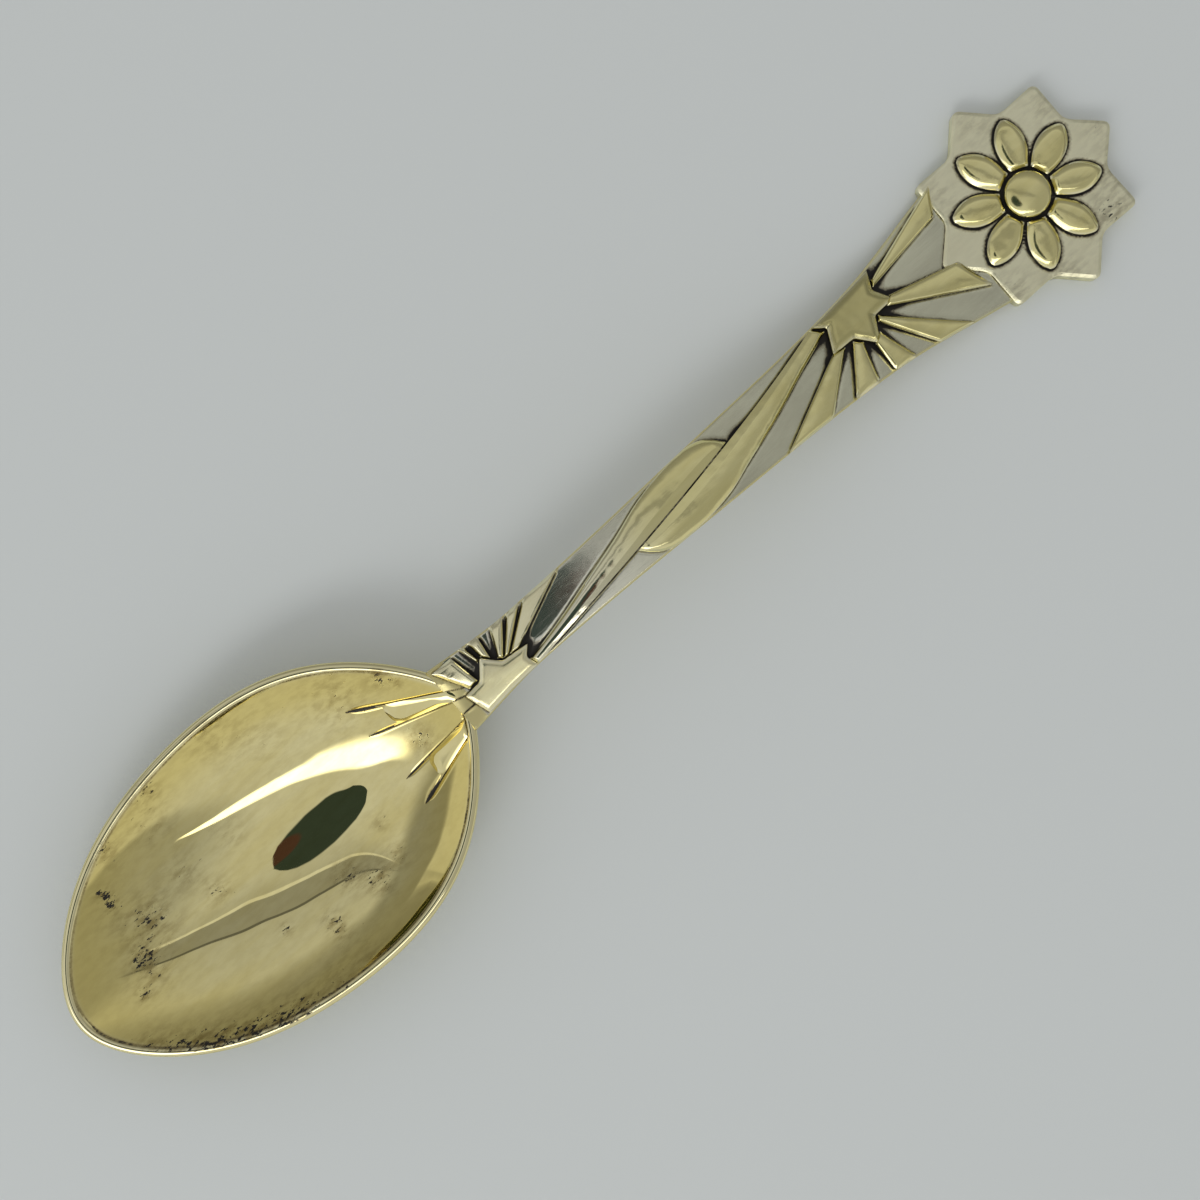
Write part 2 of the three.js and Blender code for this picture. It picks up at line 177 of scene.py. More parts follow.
@dataclass(frozen=True)
class BowlForm:
    """Shape of the bowl: an egg in plan, an arc in depth."""

    tip_length: float = 32.3
    neck_length: float = 25.0
    neck_overrun: float = 1.6
    width: float = 35.4
    depth: float = 8.4
    lean: float = 5.0
    lean_fade: float = 3.0
    wall: float = 1.2
    rim_width: float = 1.1
    rim_rise: float = 0.047
    tip_taper: float = 0.17
    neck_taper: float = 0.36
    arc: float = 34.0
    worn: float = 0.1
    lip: float = 0.21
    rounds: int = 24

    def reach(self, cosine: float, inset: float) -> float:
        """Length of the outline from its middle, towards the tip or the neck."""
        full = self.tip_length if cosine < 0 else self.neck_length + self.neck_overrun
        return full - inset

    def taper(self, cosine: float) -> float:
        """How far the outline draws in at this cosine of the turn."""
        return 1 - (self.tip_taper if cosine < 0 else self.neck_taper) * cosine**4

    def middle(self, share: float) -> float:
        """Middle of the copy of the outline at a share of its size, towards the neck when small."""
        return self.lean * max(1 - share**2, 0.0) ** self.lean_fade - self.neck_length

    def outline(self, turn: float, inset: float, share: float = 1.0) -> Plan:
        """Plan point on the outline, or on a smaller copy of it.

        Args:
            turn: Angle round the middle, 0 at the neck.
            inset: How far the outline is drawn in.
            share: Size of the copy.

        Returns:
            The plan point.
        """
        cosine = math.cos(turn)
        x = share * self.reach(cosine, inset) * cosine + self.middle(share)
        y = share * (self.width / 2 - inset) * math.sin(turn) * self.taper(cosine)
        return x, y

    def half_width(self, x: float, inset: float) -> float:
        """Half the width of the outline at x.

        Args:
            x: Along the spoon.
            inset: How far the outline is drawn in.

        Returns:
            The half-width.
        """
        along = x + self.neck_length
        turn = math.acos(clamp(along / self.reach(along, inset), -1.0, 1.0))
        return abs(self.outline(turn, inset)[1])

    def sag(self, share: float) -> float:
        """Share of the full depth at a share of the way out to the rim.

        Args:
            share: 0 in the middle, 1 at the rim.

        Returns:
            1 in the middle, 0 at the rim, along an arc.
        """
        steep = math.sin(math.radians(self.arc))
        edge = math.sqrt(1 - steep**2)
        return (math.sqrt(1 - (steep * min(share, 1.0)) ** 2) - edge) / (1 - edge)

    def rim(self, x: float) -> float:
        """Height of the rim at x."""
        return self.depth + self.wall - self.worn + self.rim_rise * (x - self.middle(0.0))

    def share_at(self, x: float, y: float, inset: float) -> float:
        """Size of the copy of the outline that runs through a plan point.

        Args:
            x: Along the spoon.
            y: Across it.
            inset: The rim's width for the inside, 0 for the outside.

        Returns:
            The share of the full outline, at most 1.
        """
        across = y / (self.width / 2 - inset)
        share = taper = 1.0
        for _ in range(self.rounds):
            length = x - self.middle(share)
            along = length / self.reach(length, inset)
            taper = self.taper(math.cos(math.atan2(across / taper, along)))
            share = min(math.hypot(along, across / taper), 1.0)
        return share

    def inside(self, x: float, y: float) -> float:
        """Height of the inside at a plan point."""
        sag = self.sag(self.share_at(x, y, self.rim_width))
        return self.rim(x) - self.lip - (self.depth - self.lip) * sag

    def outside(self, x: float, y: float) -> float:
        """Height of the outside at a plan point."""
        return self.rim(x) - (self.depth + self.wall) * self.sag(self.share_at(x, y, 0.0))


@dataclass(frozen=True)
class StemForm:
    """Shape of the stem: a slender arch that widens towards the finial."""

    bowl: BowlForm
    length: float = 89.5
    neck_drop: float = 0.4
    crest_rise: float = 2.8
    crest_at: float = 30.0
    neck_thickness: float = 3.4
    end_thickness: float = 1.9
    finial_notch: float = 10.0
    finial_points: int = 8
    upper_star_at: float = 64.3
    waist_at: float = 11.0
    half_widths: Sequence[float] = (3.4, 4.0, 5.4, 8.3)
    crown: float = 0.15
    crown_bend: float = 2.5
    flatter: Plan = (50.0, 75.0)
    flattened: float = 0.6
    blend: float = 3.0
    blend_run: float = 0.4
    rim_meets: Plan = (-0.1, 0.25)
    under_round: float = 0.5
    under_bend: float = 2.6
    edge_round: float = 0.3
    heel: float = 5.0
    heel_tip: float = 4.0
    heel_fall: float = 1.5
    heel_bend: float = 1.2

    @property
    def end(self) -> float:
        """Where the stem meets the notches of the finial star."""
        return self.length - self.finial_notch * math.cos(math.pi / self.finial_points)

    @property
    def crest(self) -> float:
        """Height of the crest of the arch."""
        return self.bowl.rim(0.0) - self.neck_drop + self.crest_rise

    def half_width(self, x: float) -> float:
        """Half the width in plan, the heel under the bowl included.

        Args:
            x: Along the stem, below 0 under the bowl.

        Returns:
            The half-width.
        """
        neck = self.bowl.half_width(0.0, 0.0)
        if x < 0:
            return lerp(neck, self.heel_tip / 2, clamp(-x / self.heel, 0.0, 1.0))
        middle = (self.waist_at + self.upper_star_at) / 2
        places = (0.0, self.waist_at, middle, self.upper_star_at, self.end)
        return smooth_through(list(zip(places, (neck, *self.half_widths))))(x)

    def top(self, x: float) -> float:
        """Height of the middle of the top at x.

        Args:
            x: Along the stem.

        Returns:
            The height, on an arch that comes down to the finial.
        """
        if x < self.crest_at:
            return self.crest - self.crest_rise * (1 - x / self.crest_at) ** 2
        return lerp(self.crest, self.end_thickness, smoothstep(self.crest_at, self.end, x))

    def thickness(self, x: float) -> float:
        """Thickness at x."""
        lift = (self.top(x) - self.end_thickness) / (self.crest - self.end_thickness)
        return lerp(self.end_thickness, self.neck_thickness, lift)

    def ground(self, x: float, y: float) -> float:
        """Height of the ground that the relief stands on.

        Args:
            x: Along the stem.
            y: Across it.

        Returns:
            The height, which follows the bowl for a little way past the joint.
        """
        share = min(abs(y) / self.half_width(max(x, 0.0)), 1.0)
        flat = 1 - self.flattened * smoothstep(*self.flatter, x)
        own = self.top(x) - self.crown * flat * share**self.crown_bend
        if x >= self.blend:
            return own
        inner = self.bowl.half_width(0.0, self.bowl.rim_width)
        side = smoothstep(inner + self.rim_meets[0], inner + self.rim_meets[1], abs(y))
        edge, run = self.bowl.inside(0.0, y), self.blend_run
        joint = lerp(edge, self.bowl.rim(0.0), side)
        climb = lerp((edge - self.bowl.inside(-run, y)) / run, self.bowl.rim_rise, side)
        t = max(x, 0.0) / self.blend
        return lerp(joint, own, smoothstep(0.0, 1.0, t)) + climb * self.blend * t * (1 - t) ** 2

    def underside(self, x: float, y: float) -> float:
        """Height of the rounded underside.

        Args:
            x: Along the stem, below 0 under the bowl.
            y: Across it.

        Returns:
            The height, which falls along the heel.
        """
        top, thick = self.top(x), self.thickness(x)
        share = min(abs(y) / self.half_width(x), 1.0)
        fall = self.heel_fall * max(-x / self.heel, 0.0) ** self.heel_bend
        side = 1 - math.sqrt(max(1 - share**self.under_bend, 0.0))
        return top - thick - fall + self.under_round * thick * side

    def inward(self, x: float, y: float) -> float:
        """How far a plan point lies inside the stem's edge."""
        return self.half_width(x) - abs(y)


# The modelling bench


class Bench:
    """The operators that the pieces are made with."""

    @staticmethod
    def take(piece: bpy.types.Object) -> None:
        """Select one piece alone and make it active.

        Args:
            piece: The piece to take in hand.
        """
        bpy.ops.object.select_all(action="DESELECT")
        piece.select_set(True)
        bpy.context.view_layer.objects.active = piece

    @staticmethod
    def start(name: str) -> bpy.types.Object:
        """Name the primitive that was just added, its mesh too.

        Args:
            name: Name of the piece.

        Returns:
            The piece.
        """
        piece = bpy.context.view_layer.objects.active
        piece.name = piece.data.name = name
        return piece

    @staticmethod
    @contextmanager
    def editing(piece: bpy.types.Object) -> Iterator[bpy.types.Object]:
        """Edit mode on one piece with all of it selected.

        Args:
            piece: The piece to edit.

        Yields:
            The same piece.
        """
        Bench.take(piece)
        bpy.ops.object.mode_set(mode="EDIT")
        bpy.ops.mesh.select_mode(type="FACE")
        bpy.ops.mesh.select_all(action="SELECT")
        yield piece
        bpy.ops.object.mode_set(mode="OBJECT")

    @staticmethod
    def sheet(name: str, columns: int, rows: int) -> bpy.types.Object:
        """A flat grid from -1 to 1 in both directions.

        Args:
            name: Name of the piece.
            columns: Faces along x.
            rows: Faces along y.

        Returns:
            The piece.
        """
        bpy.ops.object.select_all(action="DESELECT")
        bpy.ops.mesh.primitive_grid_add(x_subdivisions=columns, y_subdivisions=rows, size=2.0)
        return Bench.start(name)

    @staticmethod
    def thicken(piece: bpy.types.Object, foot: Callable[[Vector], float]) -> None:
        """Pull a sheet down into a solid.

        Args:
            piece: An open sheet.
            foot: Height of the underside, in metres, at a point.
        """
        with Bench.editing(piece):
            bpy.ops.mesh.extrude_region_move(TRANSFORM_OT_translate={"value": (0.0, 0.0, -PULL * MM)})
        for vertex in piece.data.vertices:
            if vertex.select:
                vertex.co.z = foot(vertex.co)
        Bench.close(piece)

    @staticmethod
    def close(piece: bpy.types.Object, distance: float = 1e-6) -> None:
        """Merge doubled points and turn the faces outwards.

        Args:
            piece: The piece to close.
            distance: How far apart doubled points may lie, in metres.
        """
        with Bench.editing(piece):
            bpy.ops.mesh.remove_doubles(threshold=distance)
            bpy.ops.mesh.normals_make_consistent(inside=False)

    @staticmethod
    def modify(piece: bpy.types.Object, kind: str, **settings: object) -> None:
        """Add a modifier and apply it.

        Args:
            piece: The piece to change.
            kind: Type of the modifier.
            settings: Its properties.
        """
        Bench.take(piece)
        modifier = piece.modifiers.new(kind.lower(), kind)
        for key, value in settings.items():
            setattr(modifier, key, value)
        bpy.ops.object.modifier_apply(modifier=modifier.name)

    @staticmethod
    def shade(piece: bpy.types.Object, degrees: float) -> None:
        """Smooth shading up to an angle between faces."""
        Bench.take(piece)
        bpy.ops.object.shade_smooth_by_angle(angle=math.radians(degrees))

    @staticmethod
    def mark(piece: bpy.types.Object, mark: Mark, values: Sequence[float]) -> None:
        """Write a value per vertex that a finish reads."""
        made = piece.data.attributes.new(name=mark.value, type="FLOAT", domain="POINT")
        made.data.foreach_set("value", list(values))


# Finishes


class Sheet:
    """A node tree with short ways to add and join nodes."""

    def __init__(self, tree: bpy.types.NodeTree) -> None:
        """Keep the tree that nodes are added to."""
        self.tree = tree

    def add(self, kind: str, settings: Optional[dict] = None, **inputs: object) -> bpy.types.Node:
        """Add a node.

        Args:
            kind: Node type without its ShaderNode prefix.
            settings: Properties of the node.
            inputs: Input sockets by name, with _ for spaces; a socket is linked, a value is set.

        Returns:
            The node.
        """
        node = self.tree.nodes.new("ShaderNode" + kind)
        for key, value in (settings or {}).items():
            setattr(node, key, value)
        for key, value in inputs.items():
            self.feed(node.inputs[key.replace("_", " ")], value)
        return node

    def feed(self, socket: bpy.types.NodeSocket, value: object) -> None:
        """Link a socket to another one or set its value.

        Args:
            socket: The input to feed.
            value: An output to link, or a plain value.
        """
        if isinstance(value, bpy.types.NodeSocket):
            self.tree.links.new(value, socket)
        else:
            socket.default_value = value

    def math(self, operation: str, *values: object) -> bpy.types.NodeSocket:
        """A Math node's result.

        Args:
            operation: What it does.
            values: Its inputs, as sockets or numbers.

        Returns:
            The output.
        """
        node = self.add("Math", {"operation": operation})
        for socket, value in zip(node.inputs, values):
            self.feed(socket, value)
        return node.outputs[0]

    def mix(self, share: object, low: object, high: object) -> bpy.types.NodeSocket:
        """A mix of two colours.

        Args:
            share: How much of the second one.
            low: The first colour.
            high: The second colour.

        Returns:
            The output.
        """
        node = self.add("Mix", {"data_type": "RGBA"})
        for number, value in ((0, share), (6, low), (7, high)):
            self.feed(node.inputs[number], value)
        return node.outputs[2]

    def step(self, value: object, low: float, high: float) -> bpy.types.NodeSocket:
        """A smooth rise from 0 at low to 1 at high."""
        settings = {"interpolation_type": "SMOOTHSTEP"}
        return self.add("MapRange", settings, Value=value, From_Min=low, From_Max=high).outputs[0]

    def noise(
        self, vector: object, scale: object, detail: float, rough: float = 0.55
    ) -> bpy.types.NodeSocket:
        """Noise from 0 to 1."""
        node = self.add("TexNoise", None, Vector=vector, Scale=scale, Detail=detail, Roughness=rough)
        return node.outputs[0]

    def stretch(self, vector: object, scale: Sequence[float], turn: float = 0.0) -> bpy.types.NodeSocket:
        """A vector scaled along the axes and turned about Z."""
        node = self.add("Mapping", None, Vector=vector, Scale=scale, Rotation=(0.0, 0.0, turn))
        return node.outputs[0]


def open_group(name: str, inputs: dict, outputs: dict) -> tuple[bpy.types.NodeTree, Sheet, dict, dict]:
    """Start a shader node group.

    Args:
        name: Name of the group.
        inputs: Socket types and default values by name.
        outputs: Socket types by name.

    Returns:
        The group, its sheet, its inner input sockets and its inner output sockets.
    """
    group = bpy.data.node_groups.new(name, "ShaderNodeTree")
    for key, (kind, value) in inputs.items():
        socket = group.interface.new_socket(key, in_out="INPUT", socket_type=kind)
        if value is not None:
            socket.default_value = value
    for key, kind in outputs.items():
        group.interface.new_socket(key, in_out="OUTPUT", socket_type=kind)
    start = group.nodes.new("NodeGroupInput")
    end = group.nodes.new("NodeGroupOutput")
    return group, Sheet(group), {s.name: s for s in start.outputs}, {s.name: s for s in end.inputs}


FLOAT, VECTOR = "NodeSocketFloat", "NodeSocketVector"


def brush_group() -> bpy.types.NodeTree:
    """Fine polishing scratches along the spoon, with a few longer ones across them.

    Returns:
        The group.
    """
    inputs = {
        "Vector": (VECTOR, None), "Depth": (FLOAT, 1.0), "Wave": (FLOAT, 0.0), "Pitch": (FLOAT, 0.45)
    }
    group, sheet, got, put = open_group("polish_marks", inputs, {"Height": FLOAT, "Haze": FLOAT})
    fine = sheet.noise(sheet.stretch(got["Vector"], (0.07, 5.0, 3.0), 0.02), 1.0, 5.0, 0.65)
    cross = sheet.noise(sheet.stretch(got["Vector"], (0.25, 9.0, 3.0), -0.5), 1.0, 3.0)
    hair = sheet.step(cross, 0.62, 0.72)
    both = sheet.math("ADD", fine, sheet.math("MULTIPLY", hair, 0.18))
    wave = sheet.noise(got["Vector"], got["Pitch"], 1.0)
    marks = sheet.math("MULTIPLY", both, got["Depth"])
    sheet.feed(put["Height"], sheet.math("MULTIPLY_ADD", wave, got["Wave"], marks))
    cloud = sheet.noise(sheet.stretch(got["Vector"], (0.05, 0.3, 0.3)), 1.0, 3.0)
    haze = sheet.math("ADD", sheet.math("MULTIPLY", fine, 0.6), sheet.math("MULTIPLY", cloud, 0.4))
    sheet.feed(put["Haze"], haze)
    return group


def oxide_group() -> bpy.types.NodeTree:
    """Black silver oxide left in the recesses, and painted shade in the bowl's neck grooves and just inside
    its rim, with a ragged edge.

    Returns:
        The group.
    """
    inputs = {"Vector": (VECTOR, None), "Recess": (FLOAT, 0.0)}
    group, sheet, got, put = open_group("recess_oxide_and_shade", inputs, {"Mask": FLOAT, "Stain": FLOAT})
    ragged = sheet.noise(got["Vector"], 3.2, 4.0, 0.65)
    broad = sheet.noise(got["Vector"], 0.4, 2.0)
    uneven = sheet.math("MULTIPLY_ADD", broad, 0.5, -0.25)
    uneven = sheet.math("ADD", uneven, sheet.math("MULTIPLY_ADD", ragged, 0.5, -0.25))
    shifted = sheet.math("ADD", got["Recess"], uneven)
    inside = sheet.step(got["Recess"], 0.02, 0.2)
    sheet.feed(put["Mask"], sheet.math("MULTIPLY", sheet.step(shifted, 0.34, 0.62), inside))
    sheet.feed(put["Stain"], sheet.math("MULTIPLY", sheet.step(shifted, 0.05, 0.5), inside))
    return group


def tarnish_group() -> bpy.types.NodeTree:
    """Dark specks and brown bloom where the metal has tarnished.

    Returns:
        The group.
    """
    inputs = {"Vector": (VECTOR, None), "Amount": (FLOAT, 0.0)}
    group, sheet, got, put = open_group("tarnish", inputs, {"Specks": FLOAT, "Bloom": FLOAT})
    flat = sheet.stretch(got["Vector"], (0.6, 1.5, 1.0), 0.1)
    grain = sheet.noise(flat, 1.7, 4.0, 0.7)
    limit = sheet.math("MULTIPLY_ADD", got["Amount"], -0.27, 0.78)
    above = sheet.math("SUBTRACT", grain, limit)
    present = sheet.step(got["Amount"], 0.02, 0.2)
    specks = sheet.step(above, 0.0, 0.035)
    sheet.feed(put["Specks"], sheet.math("MULTIPLY", specks, present))
    soft = sheet.noise(flat, 0.9, 4.0, 0.6)
    bloom = sheet.math("MULTIPLY", sheet.step(soft, 0.34, 0.7), sheet.math("MULTIPLY", got["Amount"], 0.8))
    sheet.feed(put["Bloom"], sheet.math("MINIMUM", bloom, 1.0))
    return group


@dataclass(frozen=True)
class MetalFinish:
    """A worn precious metal: its colours, polish and patina."""

    name: str
    base: Colour
    deep: Colour
    # Worn colour, also used for the painted highlight on upper edges and on the bowl's rim.
    worn: Colour
    roughness: float
    haze: float
    brush: float
    wave: float
    pitch: float = 0.45
    dull: float = 0.0
    wash_and_shade: Colour = (0.76, 0.68, 0.34)
    # Black of oxide, of tarnish specks, and of the bowl's painted groove and rim shade.
    oxide: Colour = (0.012, 0.010, 0.008)
    bloom: Colour = (0.13, 0.085, 0.03)
    stain: float = 0.6
    pale_gloss: float = 0.6
    pale_calm: float = 0.7
    black_rough: float = 0.4
    black_earth: float = 0.75
    black_pit: float = 0.6
    bloom_rough: float = 0.18
    bump: float = 0.00001

    def material(self, groups: dict[str, bpy.types.NodeTree]) -> bpy.types.Material:
        """The finish as a material.

        Args:
            groups: The shared effects by name.

        Returns:
            The material.
        """
        made = bpy.data.materials.new(self.name)
        made.use_nodes = True
        made.node_tree.nodes.clear()
        sheet = Sheet(made.node_tree)
        place = sheet.stretch(sheet.add("TexCoord").outputs["Object"], (1 / MM,) * 3)
        marks = {m: sheet.add("Attribute", {"attribute_name": m.value}).outputs["Fac"] for m in Mark}

        def effect(name: str, **inputs: object) -> bpy.types.Node:
            """A shared effect with its own values.

            Args:
                name: Name of the effect.
                inputs: Its inputs by name.

            Returns:
                The group node.
            """
            node = sheet.add("Group", {"node_tree": groups[name]}, Vector=place)
            for key, value in inputs.items():
                sheet.feed(node.inputs[key], value)
            return node

        polish = effect("polish", Depth=self.brush, Wave=self.wave, Pitch=self.pitch)
        oxide = effect("oxide", Recess=marks[Mark.OXIDE_AND_SHADE])
        tarnish = effect("tarnish", Amount=marks[Mark.TARNISH])
        cloud = sheet.noise(sheet.stretch(place, (0.035, 0.28, 0.28)), 1.0, 6.0, 0.62)
        colour = sheet.mix(sheet.step(cloud, 0.3, 0.75), rgba(self.base), rgba(self.deep))
        # Worn colour where gilding is rubbed, and a painted highlight on upper edges and on the bowl's rim.
        pale = sheet.math("MAXIMUM", marks[Mark.WEAR_AND_SHEEN], marks[Mark.PALE])
        colour = sheet.mix(pale, colour, rgba(self.worn))
        # Gilt wash on the stem; on the bowl, painted shade on the steep inner walls.
        colour = sheet.mix(marks[Mark.GILDED_AND_SHADE], colour, rgba(self.wash_and_shade))
        colour = sheet.mix(tarnish.outputs["Bloom"], colour, rgba(self.bloom))
        stain = sheet.math("MULTIPLY", oxide.outputs["Stain"], self.stain)
        colour = sheet.mix(stain, colour, rgba(self.bloom))
        black = sheet.math("MAXIMUM", oxide.outputs["Mask"], tarnish.outputs["Specks"])
        colour = sheet.mix(black, colour, rgba(self.oxide))
        rough = sheet.math("MULTIPLY_ADD", polish.outputs["Haze"], self.haze, self.roughness)
        gloss = sheet.math("MULTIPLY_ADD", marks[Mark.PALE], -self.pale_gloss, 1.0)
        rough = sheet.math("MULTIPLY", rough, gloss)
        rough = sheet.math("MULTIPLY_ADD", marks[Mark.GILDED_AND_SHADE], self.dull, rough)
        rough = sheet.math("MULTIPLY_ADD", black, self.black_rough, rough)
        rough = sheet.math("MULTIPLY_ADD", tarnish.outputs["Bloom"], self.bloom_rough, rough)
        metal = sheet.math("MULTIPLY_ADD", black, -self.black_earth, 1.0)
        calm = sheet.math("MULTIPLY_ADD", marks[Mark.PALE], -self.pale_calm, 1.0)
        scratches = sheet.math("MULTIPLY", polish.outputs["Height"], calm)
        height = sheet.math("MULTIPLY_ADD", black, -self.black_pit, scratches)
        bump = sheet.add("Bump", None, Height=height, Strength=1.0, Distance=self.bump)
        shader = sheet.add(
            "BsdfPrincipled", None, Base_Color=colour, Roughness=rough, Metallic=metal, Normal=bump.outputs[0]
        )
        sheet.add("OutputMaterial", None, Surface=shader.outputs[0])
        return made


@dataclass(frozen=True)
class FloorFinish:
    """A plain pale table top."""

    name: str = "pale_table"
    colour: Colour = (0.60, 0.63, 0.622)
    roughness: float = 0.6

    def material(self) -> bpy.types.Material:
        """The finish as a material.

        Returns:
            The material.
        """
        made = bpy.data.materials.new(self.name)
        made.use_nodes = True
        shader = made.node_tree.nodes["Principled BSDF"]
        shader.inputs["Base Color"].default_value = rgba(self.colour)
        shader.inputs["Roughness"].default_value = self.roughness
        return made


GILT = MetalFinish(
    "gilt", (0.85, 0.79, 0.41), (0.75, 0.68, 0.31), (0.93, 0.90, 0.70), 0.07, 0.12, 0.7, 8.0
)
DEEP_GILT = MetalFinish(
    "deep_gilt", (0.62, 0.57, 0.27), (0.54, 0.48, 0.20), (0.88, 0.85, 0.62), 0.10, 0.14, 0.7, 8.0
)
BOWL_GILT = MetalFinish(
    "bowl_gilt", (0.87, 0.79, 0.42), (0.78, 0.68, 0.30), (0.92, 0.87, 0.60), 0.004, 0.008, 0.01, 5.0, 0.1,
    # The bowl's darker olive wash is painted shade on its steep inner walls.
    wash_and_shade=(0.77, 0.65, 0.23), bloom=(0.26, 0.18, 0.05),
)
PALE = MetalFinish(
    "pale_gilt", (0.86, 0.81, 0.52), (0.76, 0.70, 0.40), (0.93, 0.90, 0.72), 0.18, 0.14, 0.6, 4.0
)
SILVER = MetalFinish(
    "silver_ground", (0.70, 0.70, 0.53), (0.58, 0.57, 0.43), (0.86, 0.85, 0.73), 0.14, 0.2, 1.6, 3.0, dull=0.3
)
SATIN = MetalFinish(
    "satin_silver", (0.95, 0.92, 0.60), (0.85, 0.81, 0.50), (0.95, 0.93, 0.74), 0.24, 0.2, 1.4, 3.0
)


@dataclass
class Palette:
    """The materials that the pieces are dressed in."""

    groups: dict[str, bpy.types.NodeTree] = field(default_factory=dict)
    made: dict[str, bpy.types.Material] = field(default_factory=dict)

    def mix(self) -> None:
        """Build the shared effects and the materials."""
        self.groups = {"polish": brush_group(), "oxide": oxide_group(), "tarnish": tarnish_group()}
        for finish in (GILT, DEEP_GILT, BOWL_GILT, PALE, SILVER, SATIN):
            self.made[finish.name] = finish.material(self.groups)

    def dress(self, piece: bpy.types.Object, finish: MetalFinish, slot: Slot, *nodes: str) -> None:
        """Give a piece its finish and its place in the frame.

        Args:
            piece: The finished mesh.
            finish: What it is made of.
            slot: The record's material slot; not used.
            nodes: The CAD nodes that it stands for.
        """
        piece.data.materials.clear()
        piece.data.materials.append(self.made[finish.name])
        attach(piece, "root")
        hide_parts(*nodes)
        LOG.info("%s: %d faces", piece.name, len(piece.data.polygons))


# Relief pieces


@dataclass
class Blade:
    """A cushioned strip between two edges, such as a ray, a leaf or a petal."""

    name: str
    left: Edge
    right: Edge
    ground: Ground
    height: float
    side_chamfer: float = 0.45
    end_chamfer: float = 0.8
    start_chamfer: float = 0.3
    wall: float = 0.5
    crown: float = 0.12
    fade: float = 0.0
    emerge: float = 0.0
    slant: float = 0.0
    silvery: float = 0.3
    columns: int = 40
    rows: int = 18
    sink: float = 0.15
    shelter: Optional[Ground] = None
    crowding: float = 0.8
    chamfer_shares: tuple[float, float, float] = (0.2, 0.35, 0.42)
    fade_sink: Plan = (0.06, 0.32)
    fade_over: Plan = (0.6, 0.86)
    most_lean: float = 0.4
    hidden: float = 0.05

    def crowd(self, t: float) -> float:
        """Move grid lines closer to both ends."""
        return t - self.crowding * math.sin(2 * math.pi * t) / (2 * math.pi)

    def across(self, t: float) -> float:
        """Share of the way across for a line of the grid."""
        return self.crowd(t)

    def outline(self, steps: int = 120, ends: Sequence[float] = (0.0, 1.0)) -> list[Plan]:
        """Points along the foot of the piece.

        Args:
            steps: How many steps each side has.
            ends: Shares of the length at which a line of points runs across.

        Returns:
            The points.
        """
        points = []
        for i in range(steps + 1):
            points += [self.left(i / steps), self.right(i / steps)]
        for t in ends:
            points += [between(self.left(t), self.right(t), k / 12) for k in range(13)]
        return points

    def rise(self, u: float, v: float, width: float, length: float) -> float:
        """Height of the top above the ground.

        Args:
            u: Share of the way along.
            v: Share of the way across.
            width: Width here.
            length: Length of the piece.

        Returns:
            The height.
        """
        start_share, end_share, _ = self.chamfer_shares
        start = self.bevel(u * length, min(self.start_chamfer, start_share * length))
        end = self.bevel((1 - u) * length, min(self.end_chamfer, end_share * length))
        shape = self.wall + (self.section(v, width) - self.wall) * start * end
        slow, quick = self.fade_sink
        sunk = self.fade * (slow * u + quick * smoothstep(*self.fade_over, u))
        full = self.height * shape * (1 - self.fade * u) - sunk
        return lerp(-self.hidden, full, self.emerged(u * length))

    def emerged(self, distance: float) -> float:
        """How far the piece has risen out of its ground at a distance from its start."""
        return smoothstep(0.0, self.emerge, distance) if self.emerge else 1.0

    @staticmethod
    def bevel(distance: float, chamfer: float) -> float:
        """Rounded rise from 0 at an edge to 1 at the chamfer's end."""
        return math.sin(math.pi / 2 * clamp(distance / max(chamfer, 1e-6), 0.0, 1.0))

    def section(self, v: float, width: float) -> float:
        """Share of the full height at a share of the way across.

        Args:
            v: Share of the way across.
            width: Width here.

        Returns:
            The share, with rounded sides, a crown and a lean to one side.
        """
        side = self.bevel(min(v, 1 - v) * width, min(self.side_chamfer, self.chamfer_shares[2] * width))
        lean = clamp(self.slant * width, -self.most_lean, self.most_lean) * (v - 0.5) / self.height
        crown = self.crown * (1 - (2 * v - 1) ** 2)
        return self.wall + (1 - self.wall - self.crown) * side + crown + lean

    def build(self) -> bpy.types.Object:
        """Model the piece.

        Returns:
            The piece, in place.
        """
        piece = Bench.sheet(self.name, self.columns, self.rows)
        length = math.dist(self.left(0.0), self.left(1.0))
        for vertex in piece.data.vertices:
            u, v = self.crowd((vertex.co.x + 1) / 2), self.across((vertex.co.y + 1) / 2)
            left, right = self.left(u), self.right(u)
            x, y = between(left, right, v)
            rise = self.rise(u, v, math.dist(left, right), length)
            vertex.co = placed(x, y, self.ground(x, y) + rise)

        def foot(co: Vector) -> float:
            """Height of the underside, sunk a little into the ground."""
            x, y, _ = planned(co)
            return (self.ground(x, y) - self.sink) * MM

        Bench.thicken(piece, foot)
        Bench.shade(piece, 42.0)
        start, end = self.left(0.0)[0], self.left(1.0)[0]

        def along(x: float) -> float:
            """Share of the way along the piece."""
            return clamp((x - start) / (end - start), 0.0, 1.0)

        def side(x: float, y: float) -> float:
            """Height of the upright side, lower where the piece fades."""
            return self.wall * self.height * (1 - self.fade * along(x))

        def shelter(x: float, y: float) -> float:
            """How much oxide is kept, less where the piece fades or emerges."""
            own = self.shelter(x, y) if self.shelter else 1.0
            return own * (1 - self.fade * along(x)) * self.emerged(along(x) * length) ** 2

        mark_relief(piece, self.ground, side, shelter, self.silvery)
        return piece


